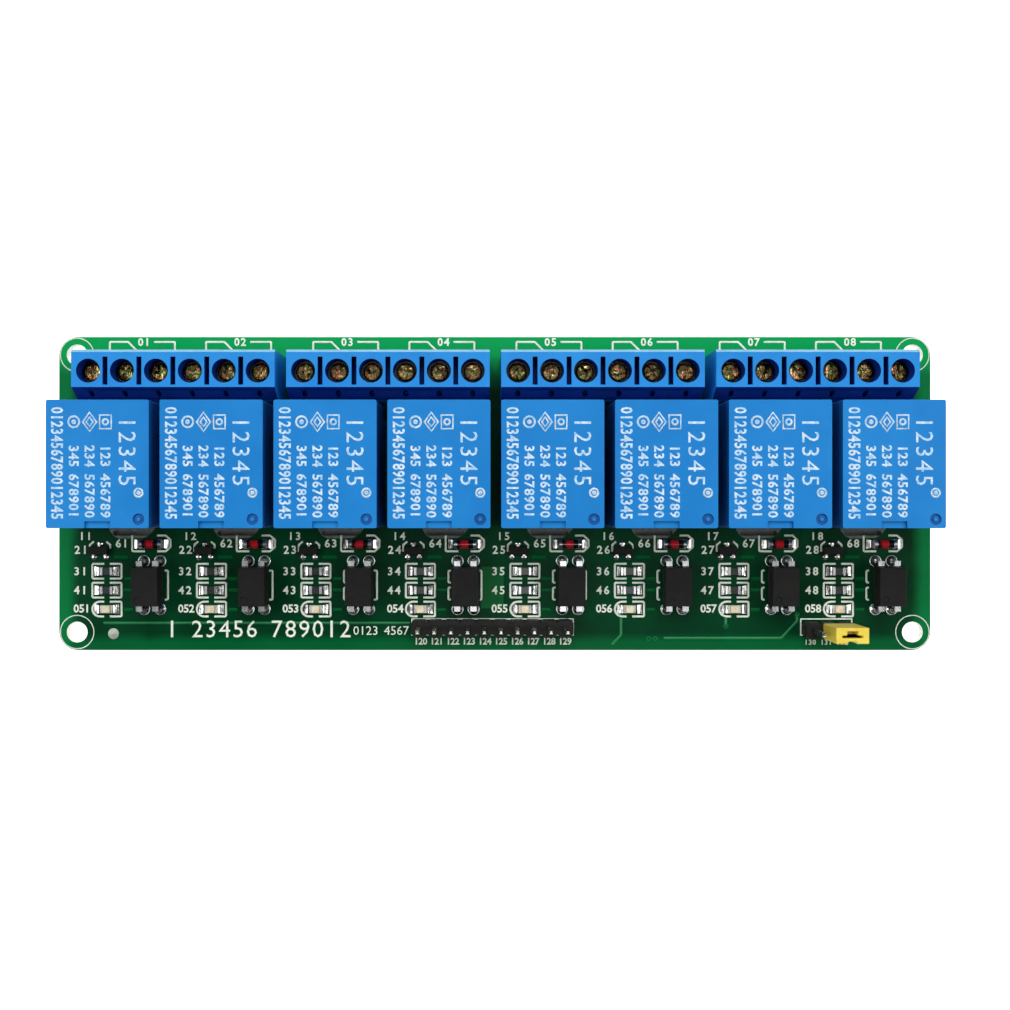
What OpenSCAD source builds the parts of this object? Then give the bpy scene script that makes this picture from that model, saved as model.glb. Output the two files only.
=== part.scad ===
// Relay module board: a row of eight sealed relays on one circuit board. Each relay has its own
// opto-isolated driver below it and three poles of a screw terminal block above it, and a pin
// header at the lower edge brings the inputs in.
// The origin is the centre of the four mounting holes, on the underside of the board. X runs along
// the row of relays, Y towards the screw terminals, and Z up through the parts. Sizes are in mm.

/* [Board] */
// Thickness of the board
board_t = 1.6; // [1:0.1:2.4]
// Radius of the board's corners
corner_r = 3; // [1:0.25:4]
// Diameter of the mounting holes
hole_d = 3.3; // [2.5:0.1:3.4]
// Distance from a mounting hole's centre to both edges
hole_inset = 2.85; // [2.5:0.05:3]
// Board beyond each end of the relay row
end_margin = 3.575; // [3.2:0.025:8]
// Board beyond the terminal blocks' wire side
terminal_inset = 3.3; // [2:0.1:6]
// Board beyond the header's pins
header_inset = 3.68; // [3:0.02:6]
// Width of the isolation slot under each relay's edge
slot_w = 0.75; // [0.6:0.05:1.2]
// Length of the isolation slot
slot_len = 5.8; // [4:0.1:8]

/* [Relays] */
// Gap between two relays
relay_gap = 1.55; // [0.8:0.05:4]
// Width of a relay cover, along the row
relay_w = 15; // [14.8:0.1:15.6]
// Length of a relay cover, across the board
relay_l = 18.7; // [18:0.05:20]
// Height of a relay cover
relay_h = 15.5; // [14:0.1:18]
// Wall of a relay cover
cover_wall = 0.8; // [0.5:0.05:1]
// Radius of a cover's upright edges
cover_r = 0.3; // [0.2:0.1:1.2]
// Thickness of a relay's base
base_t = 1.4; // [1:0.1:2]
// Thickness of the iron yoke
yoke_t = 1.2; // [0.8:0.1:1.6]
// Room left on each side of the yoke and the armature, inside the cover
yoke_room = 1.7; // [1.3:0.05:2.8]
// Diameter of the coil's iron core
core_d = 3.5; // [3:0.1:5]
// Room left on each side of the coil's winding, inside the cover
coil_room = 2.1; // [1.9:0.05:3]
// Thickness of the armature
armature_t = 1; // [0.8:0.1:1.2]
// Swing of the armature in degrees
armature_swing = 2.5; // [1.5:0.1:3]
// Diameter of the contact rivets
contact_d = 2.4; // [1.8:0.1:2.8]

/* [Terminal blocks] */
// Spacing of the poles
pole_pitch = 5.08; // [5:0.01:5.12]
// Gap between two blocks
block_gap = 1.72; // [0.5:0.02:2]
// Depth of a block, from its wire side to its back
block_d = 7.3; // [7.2:0.1:9]
// Height of a block
block_h = 10.3; // [9.8:0.1:13]
// Gap between the blocks and the relays
block_to_relay = 0.7; // [0.3:0.05:3]
// Diameter of the screw wells
well_d = 3.6; // [3.4:0.05:3.8]
// Diameter of the screw heads
screw_head_d = 2.7; // [2.6:0.05:3.3]
// Diameter of the screw's thread
screw_d = 2.5; // [2:0.1:2.6]
// Depth of a screw head below the block's top
screw_sunk = 2.1; // [1.5:0.1:2.4]
// Width of a wire entry
entry_w = 3.2; // [2.6:0.1:3.6]
// Height of a wire entry
entry_h = 3.7; // [3:0.1:3.8]

/* [Driver parts] */
// Gap between the relays and the row of diodes
relay_to_diode = 2.8; // [2.4:0.1:5]
// From the diodes to the nearer row of optocoupler legs
diode_to_legs = 2.7; // [2.4:0.1:5]
// From the farther row of optocoupler legs to the header
legs_to_header = 2.8; // [2.4:0.1:6]
// Across the optocoupler's two rows of legs
opto_span = 7.62; // [7.4:0.02:8.2]
// Width of the optocoupler's body, along the board
opto_w = 4.5; // [4.2:0.1:5]
// Length of the optocoupler's body
opto_l = 6.3; // [6:0.1:6.6]
// Height of the optocoupler's body
opto_h = 3.5; // [3:0.1:4]
// Space under the optocoupler's body
opto_lift = 1; // [0.4:0.1:1.4]
// Spacing of the rows of chips left of the optocoupler
chip_row_pitch = 3; // [2.6:0.1:3.1]
// Length of a chip resistor or light
chip_l = 2; // [1.6:0.1:2.4]
// Width of a chip resistor or light
chip_w = 1.25; // [0.8:0.05:1.5]
// Height of a chip resistor
chip_h = 0.55; // [0.4:0.05:0.8]
// Length of a glass diode
diode_l = 3.5; // [3:0.1:3.8]
// Diameter of a glass diode
diode_d = 1.5; // [1.3:0.05:1.7]

/* [Pin headers] */
// Spacing of the header's pins
pin_pitch = 2.54; // [2:0.01:2.54]
// Side of a square header pin
pin_side = 0.64; // [0.4:0.02:0.68]
// Height of a pin's top above the board
pin_top = 8.2; // [7:0.1:12]
// Height of a header's plastic strip
strip_h = 2.5; // [1.5:0.1:3]
// Middle of the input header, from the middle of the board
input_x = -0.4; // [-6:0.1:6]
// Middle of the jumper header, from the board's right end
jumper_inset = 16.5; // [12:0.05:29]
// Length of the jumper cap, along the header
cap_l = 5; // [4.9:0.05:5.1]
// Width of the jumper cap
cap_w = 2.45; // [2.2:0.05:2.6]
// Thickness of the jumper cap's top
cap_top = 1; // [0.6:0.1:1.6]
// Thickness of the jumper's spring clip
clip_t = 0.25; // [0.15:0.05:0.3]

/* [Hidden] */
$fn = 48;
channels = 8;
poles = 6;
poles_per_channel = 3;
input_pins = 10;
jumper_pins = 3;
blocks = channels * poles_per_channel / poles;

// Gap left between a moving piece and what it meets, and the play of a fitted one.
touch_gap = 0.05;
play = 0.1;

// How far a cut runs past the face that it opens.
over = 1;

// Lengths and widths that the rows of parts add up to.
relay_pitch = relay_w + relay_gap;
block_w = poles * pole_pitch;
block_pitch = block_w + block_gap;
relay_row = (channels - 1) * relay_pitch + relay_w;
block_row = blocks * block_pitch - block_gap;
block_margin = 5.4;
board_l = max(relay_row + 2 * end_margin, block_row + 2 * block_margin);
board_w = terminal_inset + block_d + block_to_relay + relay_l + relay_to_diode + diode_to_legs
    + opto_span + legs_to_header + header_inset;
hole_x = board_l / 2 - hole_inset;
hole_y = board_w / 2 - hole_inset;

// Rows of parts, from the terminal edge down.
chip_shift = 0.8;
chip_to_transistor = 3.3;
slot_to_cover = 0.35;
jumper_drop = 0.4;
block_y = board_w / 2 - terminal_inset;
relay_y = block_y - block_d - block_to_relay - relay_l / 2;
relay_low_y = relay_y - relay_l / 2;
diode_y = relay_low_y - relay_to_diode;
opto_y = diode_y - diode_to_legs - opto_span / 2;
header_y = opto_y - opto_span / 2 - legs_to_header;
chip_y = opto_y - chip_shift;
transistor_y = chip_y + chip_row_pitch + chip_to_transistor;
slot_y = relay_low_y - slot_to_cover - slot_w;
jumper_x = board_l / 2 - jumper_inset;
jumper_y = header_y - jumper_drop;

// Columns of parts, from the middle of a channel.
slot_x = 0.4;
chip_x = -3.5;
transistor_x = -4.6;
diode_x = 3.6;
opto_x = 3.65;

// Relay: heights from the board's top face, and places from the relay's middle.
base_lift = 0.3;
base_top = base_lift + base_t;
inner_w = relay_w - 2 * cover_wall;
inner_l = relay_l - 2 * cover_wall;
inner_r = 0.3;
relay_lead = [1, 0.6];
relay_drill = 1.3;
lead_to_wall = 0.2;
com_inset = 2.4;
far_lead_inset = 2.25;
coil_lead_step = 2;
com_y = -relay_l / 2 + com_inset;
coil_lead_x = inner_w / 2 - lead_to_wall - relay_lead.x / 2;
coil_lead_y = com_y + coil_lead_step;
far_lead_y = relay_l / 2 - far_lead_inset;
coil_lead_top = 4.5;
coil_d = inner_w - 2 * coil_room;
coil_to_yoke = 0.6;
yoke_w = inner_w - 2 * yoke_room;
yoke_y = com_y - yoke_t / 2;
hinge_y = yoke_y + yoke_t;
coil_y = hinge_y + coil_d / 2 + coil_to_yoke;
flange_t = 0.6;
flange_rim = 0.5;
flange_w = coil_d + 2 * flange_rim;
spool_wall = 0.5;
pole_rim = 1.85;
pole_d = core_d + 2 * pole_rim;
pole_t = 0.7;
armature_overhang = 0.6;
armature_end = coil_y + pole_d / 2 + armature_overhang;
head_room = 1.6;
armature_z = relay_h - cover_wall - armature_t - head_room;
pole_z = armature_z - (armature_end - hinge_y) * tan(armature_swing) - touch_gap;
spring_t = 0.15;
spring_w = 6;
spring_z = armature_z + armature_t;
rivet_t = 0.5;
contact_to_lead = 0.7;
contact_y = far_lead_y - contact_to_lead;
contact_strip_t = 0.35;
upper_contact_z = spring_z + spring_t + rivet_t + touch_gap;
lower_contact_z = spring_z - rivet_t - touch_gap
    - (contact_y + contact_d / 2 - hinge_y) * sin(armature_swing);
fixed_rivet_t = 0.3;
notch = [3.7, 1, 0.5];
vent_d = 1.65;
vent_nib_d = 0.6;
vent_depth = 0.3;
vent_inset = [1.5, 1.3];
vent_x = relay_w / 2 - vent_inset.x;
vent_y = -relay_l / 2 + vent_inset.y;

// Terminal block: heights from the board's top face, depths from its wire side.
well_depth = 3.2;
front_wall = 0.9;
rear_wall = 1.2;
cell_wall = 0.98;
cell_w = pole_pitch - cell_wall;
screw_head_t = 1.3;
screw_head_z = block_h - screw_sunk - screw_head_t;
cell_h = screw_head_z;
slope_run = 1.65;
slope_drop = 3.1;
edge_bevel = 0.4;
divider_slot = [0.75, 4.2, 3.2];
test_hole_d = 0.85;
test_hole_depth = 2;
screw_slot_w = 0.5;
screw_slot_rim = 0.25;
screw_slot_depth = 0.7;
screw_turn = 47;
entry_z = 0.9;
cage_w = cell_w - 2 * play;
cage_d = 3.6;
cage_z = 0.5;
cage_wall = 0.55;
cage_nut_t = 1;
cage_to_head = 0.6;
cage_top = screw_head_z - cage_to_head;
tongue_w = 2.4;
tongue_t = 0.6;
tongue_to_nut = 0.6;
tongue_top = cage_top - cage_nut_t - tongue_to_nut;
block_lead = [1, tongue_t];
block_drill = 1.3;
block_lead_y = block_y - block_d + rear_wall + tongue_t / 2;

// Optocoupler legs, chips and transistors.
opto_draft = 0.22;
opto_dimple_d = 1;
opto_dimple_inset = 1.1;
opto_dimple_depth = 0.15;
leg_t = 0.25;
leg_w = 0.5;
leg_shoulder_w = 0.95;
leg_shoulder_z = 0.8;
leg_pitch = 2.54;
opto_lead = [leg_w, leg_t];
opto_drill = 0.8;
chip_end_l = 0.4;
chip_wrap = 0.05;
light_base_h = 0.4;
light_lens_h = 0.4;
diode_end_l = 0.5;
diode_rim = 0.05;
diode_glass_d = diode_d - 2 * diode_rim;
transistor_size = [2.9, 1.3, 1];
transistor_lift = 0.1;
transistor_lead_w = 0.4;
transistor_lead_t = 0.15;
transistor_lead_x = 0.95;
transistor_heel = 0.1;
transistor_foot_y = 1.25;
light_lens_inset = 0.05;

// Headers and the jumper.
header_lead = [pin_side, pin_side];
header_drill = 1;
strip_w = 2.54;
strip_bevel = 0.4;
pin_tip = 0.5;
pin_tip_scale = 0.5;
cap_z = strip_h + play;
cap_x = jumper_x + pin_pitch / 2;
pin_play = 0.08;
clip_half = pin_side / 2 + pin_play;
clip_z = pin_top + touch_gap;
clip_end = 0.45;
clip_l = pin_pitch + pin_side + 2 * clip_end;
clip_recess = 0.3;
clip_bottom = cap_z + clip_recess;
cap_cavity_l = clip_l + play;
cap_h = clip_z + clip_t + cap_top - cap_z;
window = [3.1, 0.35];
window_crown = [1.6, 0.65];
cap_groove = [1.3, 0.35];

// Solder: every joint under the board ends at one height, so that the board stands level on them.
lead_drop = 1.2;
solder_drop = 1.8;
solder_tip_d = 0.9;
pad_ring = 0.55;

function centred(i, n, pitch) = (i - (n - 1) / 2) * pitch;
function channel_x(i) = centred(i, channels, relay_pitch);
function block_x(b) = centred(b, blocks, block_pitch);

relay_leads = [
    [0, com_y],
    [-coil_lead_x, coil_lead_y],
    [coil_lead_x, coil_lead_y],
    [-coil_lead_x, far_lead_y],
    [coil_lead_x, far_lead_y]
];
opto_leads = [for (x = [-1, 1], y = [-1, 1]) [x * leg_pitch / 2, y * opto_span / 2]];

relay_places = [for (i = [0:channels - 1], p = relay_leads) [channel_x(i) + p.x, relay_y + p.y]];
opto_places = [for (i = [0:channels - 1], p = opto_leads) [channel_x(i) + opto_x + p.x, opto_y + p.y]];
pole_places = [for (b = [0:blocks - 1], p = [0:poles - 1])
    [block_x(b) + centred(p, poles, pole_pitch), block_lead_y]];
input_places = [for (p = [0:input_pins - 1]) [input_x + centred(p, input_pins, pin_pitch), header_y]];
jumper_places = [for (p = [0:jumper_pins - 1]) [jumper_x + centred(p, jumper_pins, pin_pitch), jumper_y]];

// ---- Shared shapes ----

module rounded_rect(w, l, r) {
    square([w - 2 * r, l], center = true);
    square([w, l - 2 * r], center = true);
    for (x = [-1, 1], y = [-1, 1])
        translate([x * (w / 2 - r), y * (l / 2 - r)]) circle(r);
}

// A block with its footprint centred on the origin, from z0 to z1.
module bar(w, l, z0, z1) {
    translate([-w / 2, -l / 2, z0]) cube([w, l, z1 - z0]);
}

// A profile drawn in Y and Z, extruded along X about the origin.
module along_x(length) {
    translate([-length / 2, 0, 0]) rotate([90, 0, 90]) linear_extrude(length) children();
}

module at_channels(x = 0, y = 0) {
    for (i = [0:channels - 1]) translate([channel_x(i) + x, y, board_t]) children();
}

module at_poles() {
    for (b = [0:blocks - 1], p = [0:poles - 1]) {
        $pole = b * poles + p;
        translate([block_x(b) + centred(p, poles, pole_pitch), block_y, board_t]) children();
    }
}

module at_places(places) {
    for (p = places) translate([p.x, p.y, board_t]) children();
}

// ---- Board and solder ----

module circuit_board() {
    color([0, 0.36, 0.2]) linear_extrude(board_t) difference() {
        rounded_rect(board_l, board_w, corner_r);
        for (x = [-1, 1], y = [-1, 1]) translate([x * hole_x, y * hole_y]) circle(d = hole_d);
        for (i = [0:channels - 1]) translate([channel_x(i) + slot_x, slot_y]) slot_outline();
        for (p = relay_places) translate(p) circle(d = relay_drill);
        for (p = pole_places) translate(p) circle(d = block_drill);
        for (p = opto_places) translate(p) circle(d = opto_drill);
        for (p = concat(input_places, jumper_places)) translate(p) circle(d = header_drill);
    }
}

module slot_outline() {
    square([slot_len - slot_w, slot_w], center = true);
    for (x = [-1, 1]) translate([x * (slot_len - slot_w) / 2, 0]) circle(d = slot_w);
}

// Solder round one lead: it fills the drilled hole and stands as a cone under the board.
module solder_joint(drill, lead) {
    difference() {
        union() {
            translate([0, 0, -board_t]) cylinder(d = drill, h = board_t);
            translate([0, 0, -board_t - solder_drop])
                cylinder(d1 = solder_tip_d, d2 = drill + 2 * pad_ring, h = solder_drop);
        }
        bar(lead.x, lead.y, -board_t - lead_drop, over);
    }
}

module solder_joints() {
    color([0.75, 0.76, 0.78]) {
        at_places(relay_places) solder_joint(relay_drill, relay_lead);
        at_places(pole_places) solder_joint(block_drill, block_lead);
        at_places(opto_places) solder_joint(opto_drill, opto_lead);
        at_places(concat(input_places, jumper_places)) solder_joint(header_drill, header_lead);
    }
}

// ---- Relay ----

module relay_cover(i) {
    color([0.13, 0.5, 0.85]) translate([channel_x(i), relay_y, board_t]) difference() {
        linear_extrude(relay_h) rounded_rect(relay_w, relay_l, cover_r);
        translate([0, 0, -over]) linear_extrude(relay_h - cover_wall + over)
            rounded_rect(inner_w, inner_l, inner_r);
        translate([-notch.x / 2, -relay_l / 2 - over, relay_h - notch.z])
            cube([notch.x, notch.y + over, notch.z + over]);
        translate([vent_x, vent_y, relay_h - vent_depth]) difference() {
            cylinder(d = vent_d, h = vent_depth + over);
            cylinder(d = vent_nib_d, h = vent_depth);
        }
    }
}

module relay_bases() {
    color([0.1, 0.38, 0.7]) at_channels(0, relay_y) difference() {
        translate([0, 0, base_lift]) linear_extrude(base_t) rounded_rect(inner_w, inner_l, inner_r);
        for (p = relay_leads) translate(p) bar(relay_lead.x, relay_lead.y, 0, base_top + over);
    }
}

module relay_leads_all() {
    color([0.8, 0.8, 0.78]) at_channels(0, relay_y) for (k = [0:len(relay_leads) - 1])
        translate(relay_leads[k]) bar(relay_lead.x, relay_lead.y, -board_t - lead_drop,
            k == 1 || k == 2 ? coil_lead_top : base_top);
}

// The yoke lies under the coil and rises behind it, where its top edge carries the armature.
module relay_yokes() {
    color([0.62, 0.63, 0.65]) at_channels(0, relay_y) difference() {
        union() {
            translate([-yoke_w / 2, yoke_y, base_top])
                cube([yoke_w, yoke_t, armature_z - touch_gap - base_top]);
            translate([-yoke_w / 2, yoke_y, base_top])
                cube([yoke_w, coil_y + core_d - yoke_y, yoke_t]);
        }
        translate([0, coil_y, base_top - over]) cylinder(d = core_d, h = yoke_t + 2 * over);
    }
}

module relay_cores() {
    color([0.7, 0.71, 0.73]) at_channels(0, relay_y + coil_y) {
        translate([0, 0, base_top]) cylinder(d = core_d, h = pole_z - base_top);
        translate([0, 0, pole_z - pole_t]) cylinder(d = pole_d, h = pole_t);
    }
}

module relay_bobbins() {
    foot = base_top + yoke_t;
    head = pole_z - pole_t;
    color([0.85, 0.85, 0.8]) at_channels(0, relay_y + coil_y) difference() {
        union() {
            bar(flange_w, coil_d, foot, foot + flange_t);
            bar(flange_w, coil_d, head - flange_t, head);
            translate([0, 0, foot]) cylinder(d = core_d + 2 * spool_wall, h = head - foot);
        }
        translate([0, 0, foot - over]) cylinder(d = core_d, h = head - foot + 2 * over);
    }
}

module relay_windings() {
    foot = base_top + yoke_t + flange_t;
    head = pole_z - pole_t - flange_t;
    color([0.75, 0.38, 0.15]) at_channels(0, relay_y + coil_y) translate([0, 0, foot]) difference() {
        cylinder(d = coil_d, h = head - foot);
        translate([0, 0, -over])
            cylinder(d = core_d + 2 * spool_wall, h = head - foot + 2 * over);
    }
}

// The armature with its contact spring: one moving assembly that hinges on the yoke's inner edge.
module relay_armature(i) {
    color([0.66, 0.67, 0.68]) translate([channel_x(i), relay_y, board_t]) {
        translate([-yoke_w / 2, yoke_y, armature_z])
            cube([yoke_w, armature_end - yoke_y, armature_t]);
        translate([-spring_w / 2, yoke_y, spring_z])
            cube([spring_w, contact_y + contact_d / 2 - yoke_y, spring_t]);
        translate([0, contact_y, spring_z - rivet_t])
            cylinder(d = contact_d, h = 2 * rivet_t + spring_t);
    }
}

// The fixed tail of the contact spring, on the back of the yoke.
module relay_hinge_springs() {
    color([0.8, 0.55, 0.3]) at_channels(0, relay_y)
        translate([-spring_w / 2, yoke_y - spring_t, base_top + yoke_t])
            cube([spring_w, spring_t, armature_z - 2 * touch_gap - base_top - yoke_t]);
}

// One fixed contact: a strip that stands on its lead, bends in over the middle and holds a rivet.
module fixed_contact(side, strip_z, rivet_z) {
    reach = coil_lead_x + relay_lead.x / 2;
    translate([side * coil_lead_x, far_lead_y, 0])
        bar(relay_lead.x, relay_lead.y, base_top, strip_z + contact_strip_t);
    translate([side > 0 ? -contact_d / 2 : -reach, contact_y - contact_d / 2, strip_z])
        cube([reach + contact_d / 2, contact_d, contact_strip_t]);
    translate([0, contact_y, rivet_z]) cylinder(d = contact_d, h = fixed_rivet_t);
}

module relay_fixed_contacts() {
    color([0.82, 0.6, 0.35]) at_channels(0, relay_y) {
        fixed_contact(-1, upper_contact_z + fixed_rivet_t, upper_contact_z);
        fixed_contact(1, lower_contact_z - fixed_rivet_t - contact_strip_t,
            lower_contact_z - fixed_rivet_t);
    }
}

// ---- Screw terminal blocks ----

// Side view of a block: wire side at y = 0, a bevelled top edge, and a slope towards the relays.
module block_outline() {
    polygon([
        [0, 0],
        [0, block_h - edge_bevel],
        [-edge_bevel, block_h],
        [-block_d + slope_run, block_h],
        [-block_d, block_h - slope_drop],
        [-block_d, 0]
    ]);
}

module terminal_housing(b) {
    color([0.13, 0.52, 0.88]) translate([block_x(b), block_y, board_t]) difference() {
        along_x(block_w) block_outline();
        for (p = [0:poles - 1]) translate([centred(p, poles, pole_pitch), 0, 0]) pole_cuts();
        for (p = [1:poles - 1])
            translate([centred(p - 0.5, poles, pole_pitch), -well_depth, block_h - divider_slot.z])
                translate([-divider_slot.x / 2, -divider_slot.y / 2, 0])
                    cube([divider_slot.x, divider_slot.y, divider_slot.z + over]);
    }
}

// What one pole takes out of the housing: clamp cell, wire entry, screw well and test hole.
module pole_cuts() {
    translate([-cell_w / 2, rear_wall - block_d, -over])
        cube([cell_w, block_d - rear_wall - front_wall, cell_h + over]);
    translate([-entry_w / 2, -front_wall - over, entry_z])
        cube([entry_w, front_wall + 2 * over, entry_h]);
    translate([0, -well_depth, cell_h - over]) cylinder(d = well_d, h = block_h);
    translate([0, -block_d + slope_run / 2, block_h - slope_drop / 2 - test_hole_depth])
        cylinder(d = test_hole_d, h = slope_drop + test_hole_depth);
}

module terminal_screws() {
    color([0.82, 0.68, 0.35]) at_poles()
        translate([0, -well_depth, 0]) rotate($pole * screw_turn) difference() {
            union() {
                translate([0, 0, screw_head_z]) cylinder(d = screw_head_d, h = screw_head_t);
                translate([0, 0, tongue_top])
                    cylinder(d = screw_d, h = screw_head_z - tongue_top);
            }
            for (a = [0, 90]) rotate(a) bar(screw_slot_w, screw_head_d - 2 * screw_slot_rim,
                screw_head_z + screw_head_t - screw_slot_depth, block_h);
        }
}

// The clamp cage that the screw lifts: a square ring, open towards the wire, with a threaded top.
module terminal_cages() {
    color([0.78, 0.79, 0.8]) at_poles() translate([0, -well_depth, 0]) difference() {
        bar(cage_w, cage_d, cage_z, cage_top);
        bar(cage_w - 2 * cage_wall, cage_d + 2 * over, cage_z + cage_wall, cage_top - cage_nut_t);
        translate([0, 0, cage_top - cage_nut_t - over])
            cylinder(d = screw_d, h = cage_nut_t + 2 * over);
    }
}

// The contact that the wire is pressed against: a tongue through the cage, and its lead.
module terminal_contacts() {
    rear = block_d - rear_wall;
    color([0.8, 0.8, 0.78]) at_poles() {
        translate([-tongue_w / 2, -rear, tongue_top - tongue_t])
            cube([tongue_w, rear - front_wall - play, tongue_t]);
        translate([0, -rear + tongue_t / 2, 0])
            bar(tongue_w, tongue_t, touch_gap, tongue_top);
        translate([0, -rear + tongue_t / 2, 0])
            bar(block_lead.x, block_lead.y, -board_t - lead_drop, tongue_top);
    }
}

// ---- Driver parts ----

// Half of a moulded body: it stands on its widest outline and leans in on all four sides.
module drafted_half(w, l, h, draft) {
    linear_extrude(h, scale = [1 - 2 * draft / w, 1 - 2 * draft / l]) square([w, l], center = true);
}

module optocoupler(i) {
    color([0.16, 0.16, 0.16]) translate([channel_x(i) + opto_x, opto_y, board_t]) difference() {
        translate([0, 0, opto_lift + opto_h / 2]) {
            drafted_half(opto_w, opto_l, opto_h / 2, opto_draft);
            mirror([0, 0, 1]) drafted_half(opto_w, opto_l, opto_h / 2, opto_draft);
        }
        translate([-opto_w / 2 + opto_dimple_inset, -opto_l / 2 + opto_dimple_inset,
            opto_lift + opto_h - opto_dimple_depth]) cylinder(d = opto_dimple_d, h = over);
    }
}

module optocoupler_legs() {
    mid = opto_lift + opto_h / 2;
    outer = opto_span / 2 + leg_t / 2;
    color([0.82, 0.83, 0.84]) at_channels(opto_x, opto_y)
        for (x = [-1, 1], side = [0, 180]) translate([x * leg_pitch / 2, 0, 0]) rotate(side) {
            translate([-leg_shoulder_w / 2, opto_l / 2, mid - leg_t / 2])
                cube([leg_shoulder_w, outer - opto_l / 2, leg_t]);
            translate([-leg_shoulder_w / 2, outer - leg_t, leg_shoulder_z])
                cube([leg_shoulder_w, leg_t, mid + leg_t / 2 - leg_shoulder_z]);
            translate([0, opto_span / 2, 0])
                bar(opto_lead.x, opto_lead.y, -board_t - lead_drop, mid);
        }
}

module transistor_bodies() {
    s = transistor_size;
    color([0.14, 0.14, 0.14]) at_channels(transistor_x, transistor_y)
        bar(s.x, s.y, transistor_lift, transistor_lift + s.z);
}

module transistor_leads() {
    t = transistor_lead_t;
    side = transistor_size.y / 2;
    mid = transistor_lift + transistor_size.z / 2;
    color([0.8, 0.81, 0.82]) at_channels(transistor_x, transistor_y)
        for (lead = [[0, 0], [-transistor_lead_x, 180], [transistor_lead_x, 180]])
            translate([lead[0], 0, 0]) rotate(lead[1]) along_x(transistor_lead_w) polygon([
                [side, mid],
                [side + t + transistor_heel, mid],
                [side + t + transistor_heel, t],
                [transistor_foot_y, t],
                [transistor_foot_y, 0],
                [side + transistor_heel, 0],
                [side + transistor_heel, mid - t],
                [side, mid - t]
            ]);
}

// Two ends that wrap a chip of the given height.
module chip_ends(h) {
    for (x = [-1, 1]) translate([x * (chip_l - chip_end_l) / 2, 0, 0]) bar(chip_end_l, chip_w, 0, h);
}

module resistor_bodies() {
    color([0.12, 0.12, 0.13]) for (row = [0, 1]) at_channels(chip_x, chip_y + row * chip_row_pitch)
        bar(chip_l - 2 * chip_end_l, chip_w - 2 * chip_wrap, chip_wrap, chip_h - chip_wrap);
}

module resistor_ends() {
    color([0.82, 0.83, 0.84]) for (row = [0, 1]) at_channels(chip_x, chip_y + row * chip_row_pitch)
        chip_ends(chip_h);
}

module light_bases() {
    color([0.9, 0.9, 0.85]) at_channels(chip_x, chip_y - chip_row_pitch)
        bar(chip_l - 2 * chip_end_l, chip_w, chip_wrap, light_base_h);
}

module light_ends() {
    color([0.82, 0.83, 0.84]) at_channels(chip_x, chip_y - chip_row_pitch) chip_ends(light_base_h);
}

module light_lenses() {
    color([0.93, 0.88, 0.6]) at_channels(chip_x, chip_y - chip_row_pitch)
        bar(chip_l - 2 * chip_end_l, chip_w - 2 * light_lens_inset, light_base_h,
            light_base_h + light_lens_h);
}

module diode_tubes() {
    l = diode_l - 2 * diode_end_l;
    color([0.7, 0.25, 0.12]) at_channels(diode_x, diode_y)
        translate([-l / 2, 0, diode_d / 2]) rotate([0, 90, 0]) cylinder(d = diode_glass_d, h = l);
}

module diode_ends() {
    color([0.82, 0.83, 0.84]) at_channels(diode_x, diode_y) for (x = [-1, 1])
        translate([x * (diode_l - diode_end_l) / 2, 0, diode_d / 2]) rotate([0, 90, 0])
            cylinder(d = diode_d, h = diode_end_l, center = true);
}

// ---- Pin headers and the jumper ----

module strip_outline() {
    a = strip_w / 2;
    b = pin_pitch / 2;
    c = strip_bevel;
    polygon([
        [-b, c - a], [c - b, -a], [b - c, -a], [b, c - a],
        [b, a - c], [b - c, a], [c - b, a], [-b, a - c]
    ]);
}

module header_strip(places) {
    color([0.12, 0.12, 0.13]) difference() {
        at_places(places) linear_extrude(strip_h) strip_outline();
        at_places(places) bar(pin_side, pin_side, -over, strip_h + over);
    }
}

module header_pins(places) {
    color([0.82, 0.8, 0.72]) at_places(places) {
        bar(pin_side, pin_side, -board_t - lead_drop, pin_top - pin_tip);
        translate([0, 0, pin_top - pin_tip])
            linear_extrude(pin_tip, scale = pin_tip_scale) square(pin_side, center = true);
    }
}

module window_outline() {
    translate([-window.x / 2, -window.y]) square(window);
    translate([-window_crown.x / 2, -window.y]) square([window_crown.x, window.y + window_crown.y]);
}

module jumper_cap() {
    color([0.93, 0.8, 0.2]) translate([cap_x, jumper_y, board_t]) difference() {
        bar(cap_l, cap_w, cap_z, cap_z + cap_h);
        bar(cap_cavity_l, 2 * (clip_half + clip_t), cap_z - over, clip_z + clip_t);
        translate([0, 0, clip_z]) linear_extrude(cap_h) window_outline();
        translate([0, -cap_w / 2, 0])
            bar(cap_groove.x, 2 * cap_groove.y, cap_z - over, cap_z + cap_h + over);
    }
}

// The clip inside the cap: a folded strip whose two leaves stand on either side of the pins.
module jumper_clip() {
    color([0.8, 0.72, 0.5]) translate([cap_x, jumper_y, board_t]) difference() {
        bar(clip_l, 2 * (clip_half + clip_t), clip_bottom, clip_z + clip_t);
        bar(clip_l + over, 2 * clip_half, clip_bottom - over, clip_z);
    }
}

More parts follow.
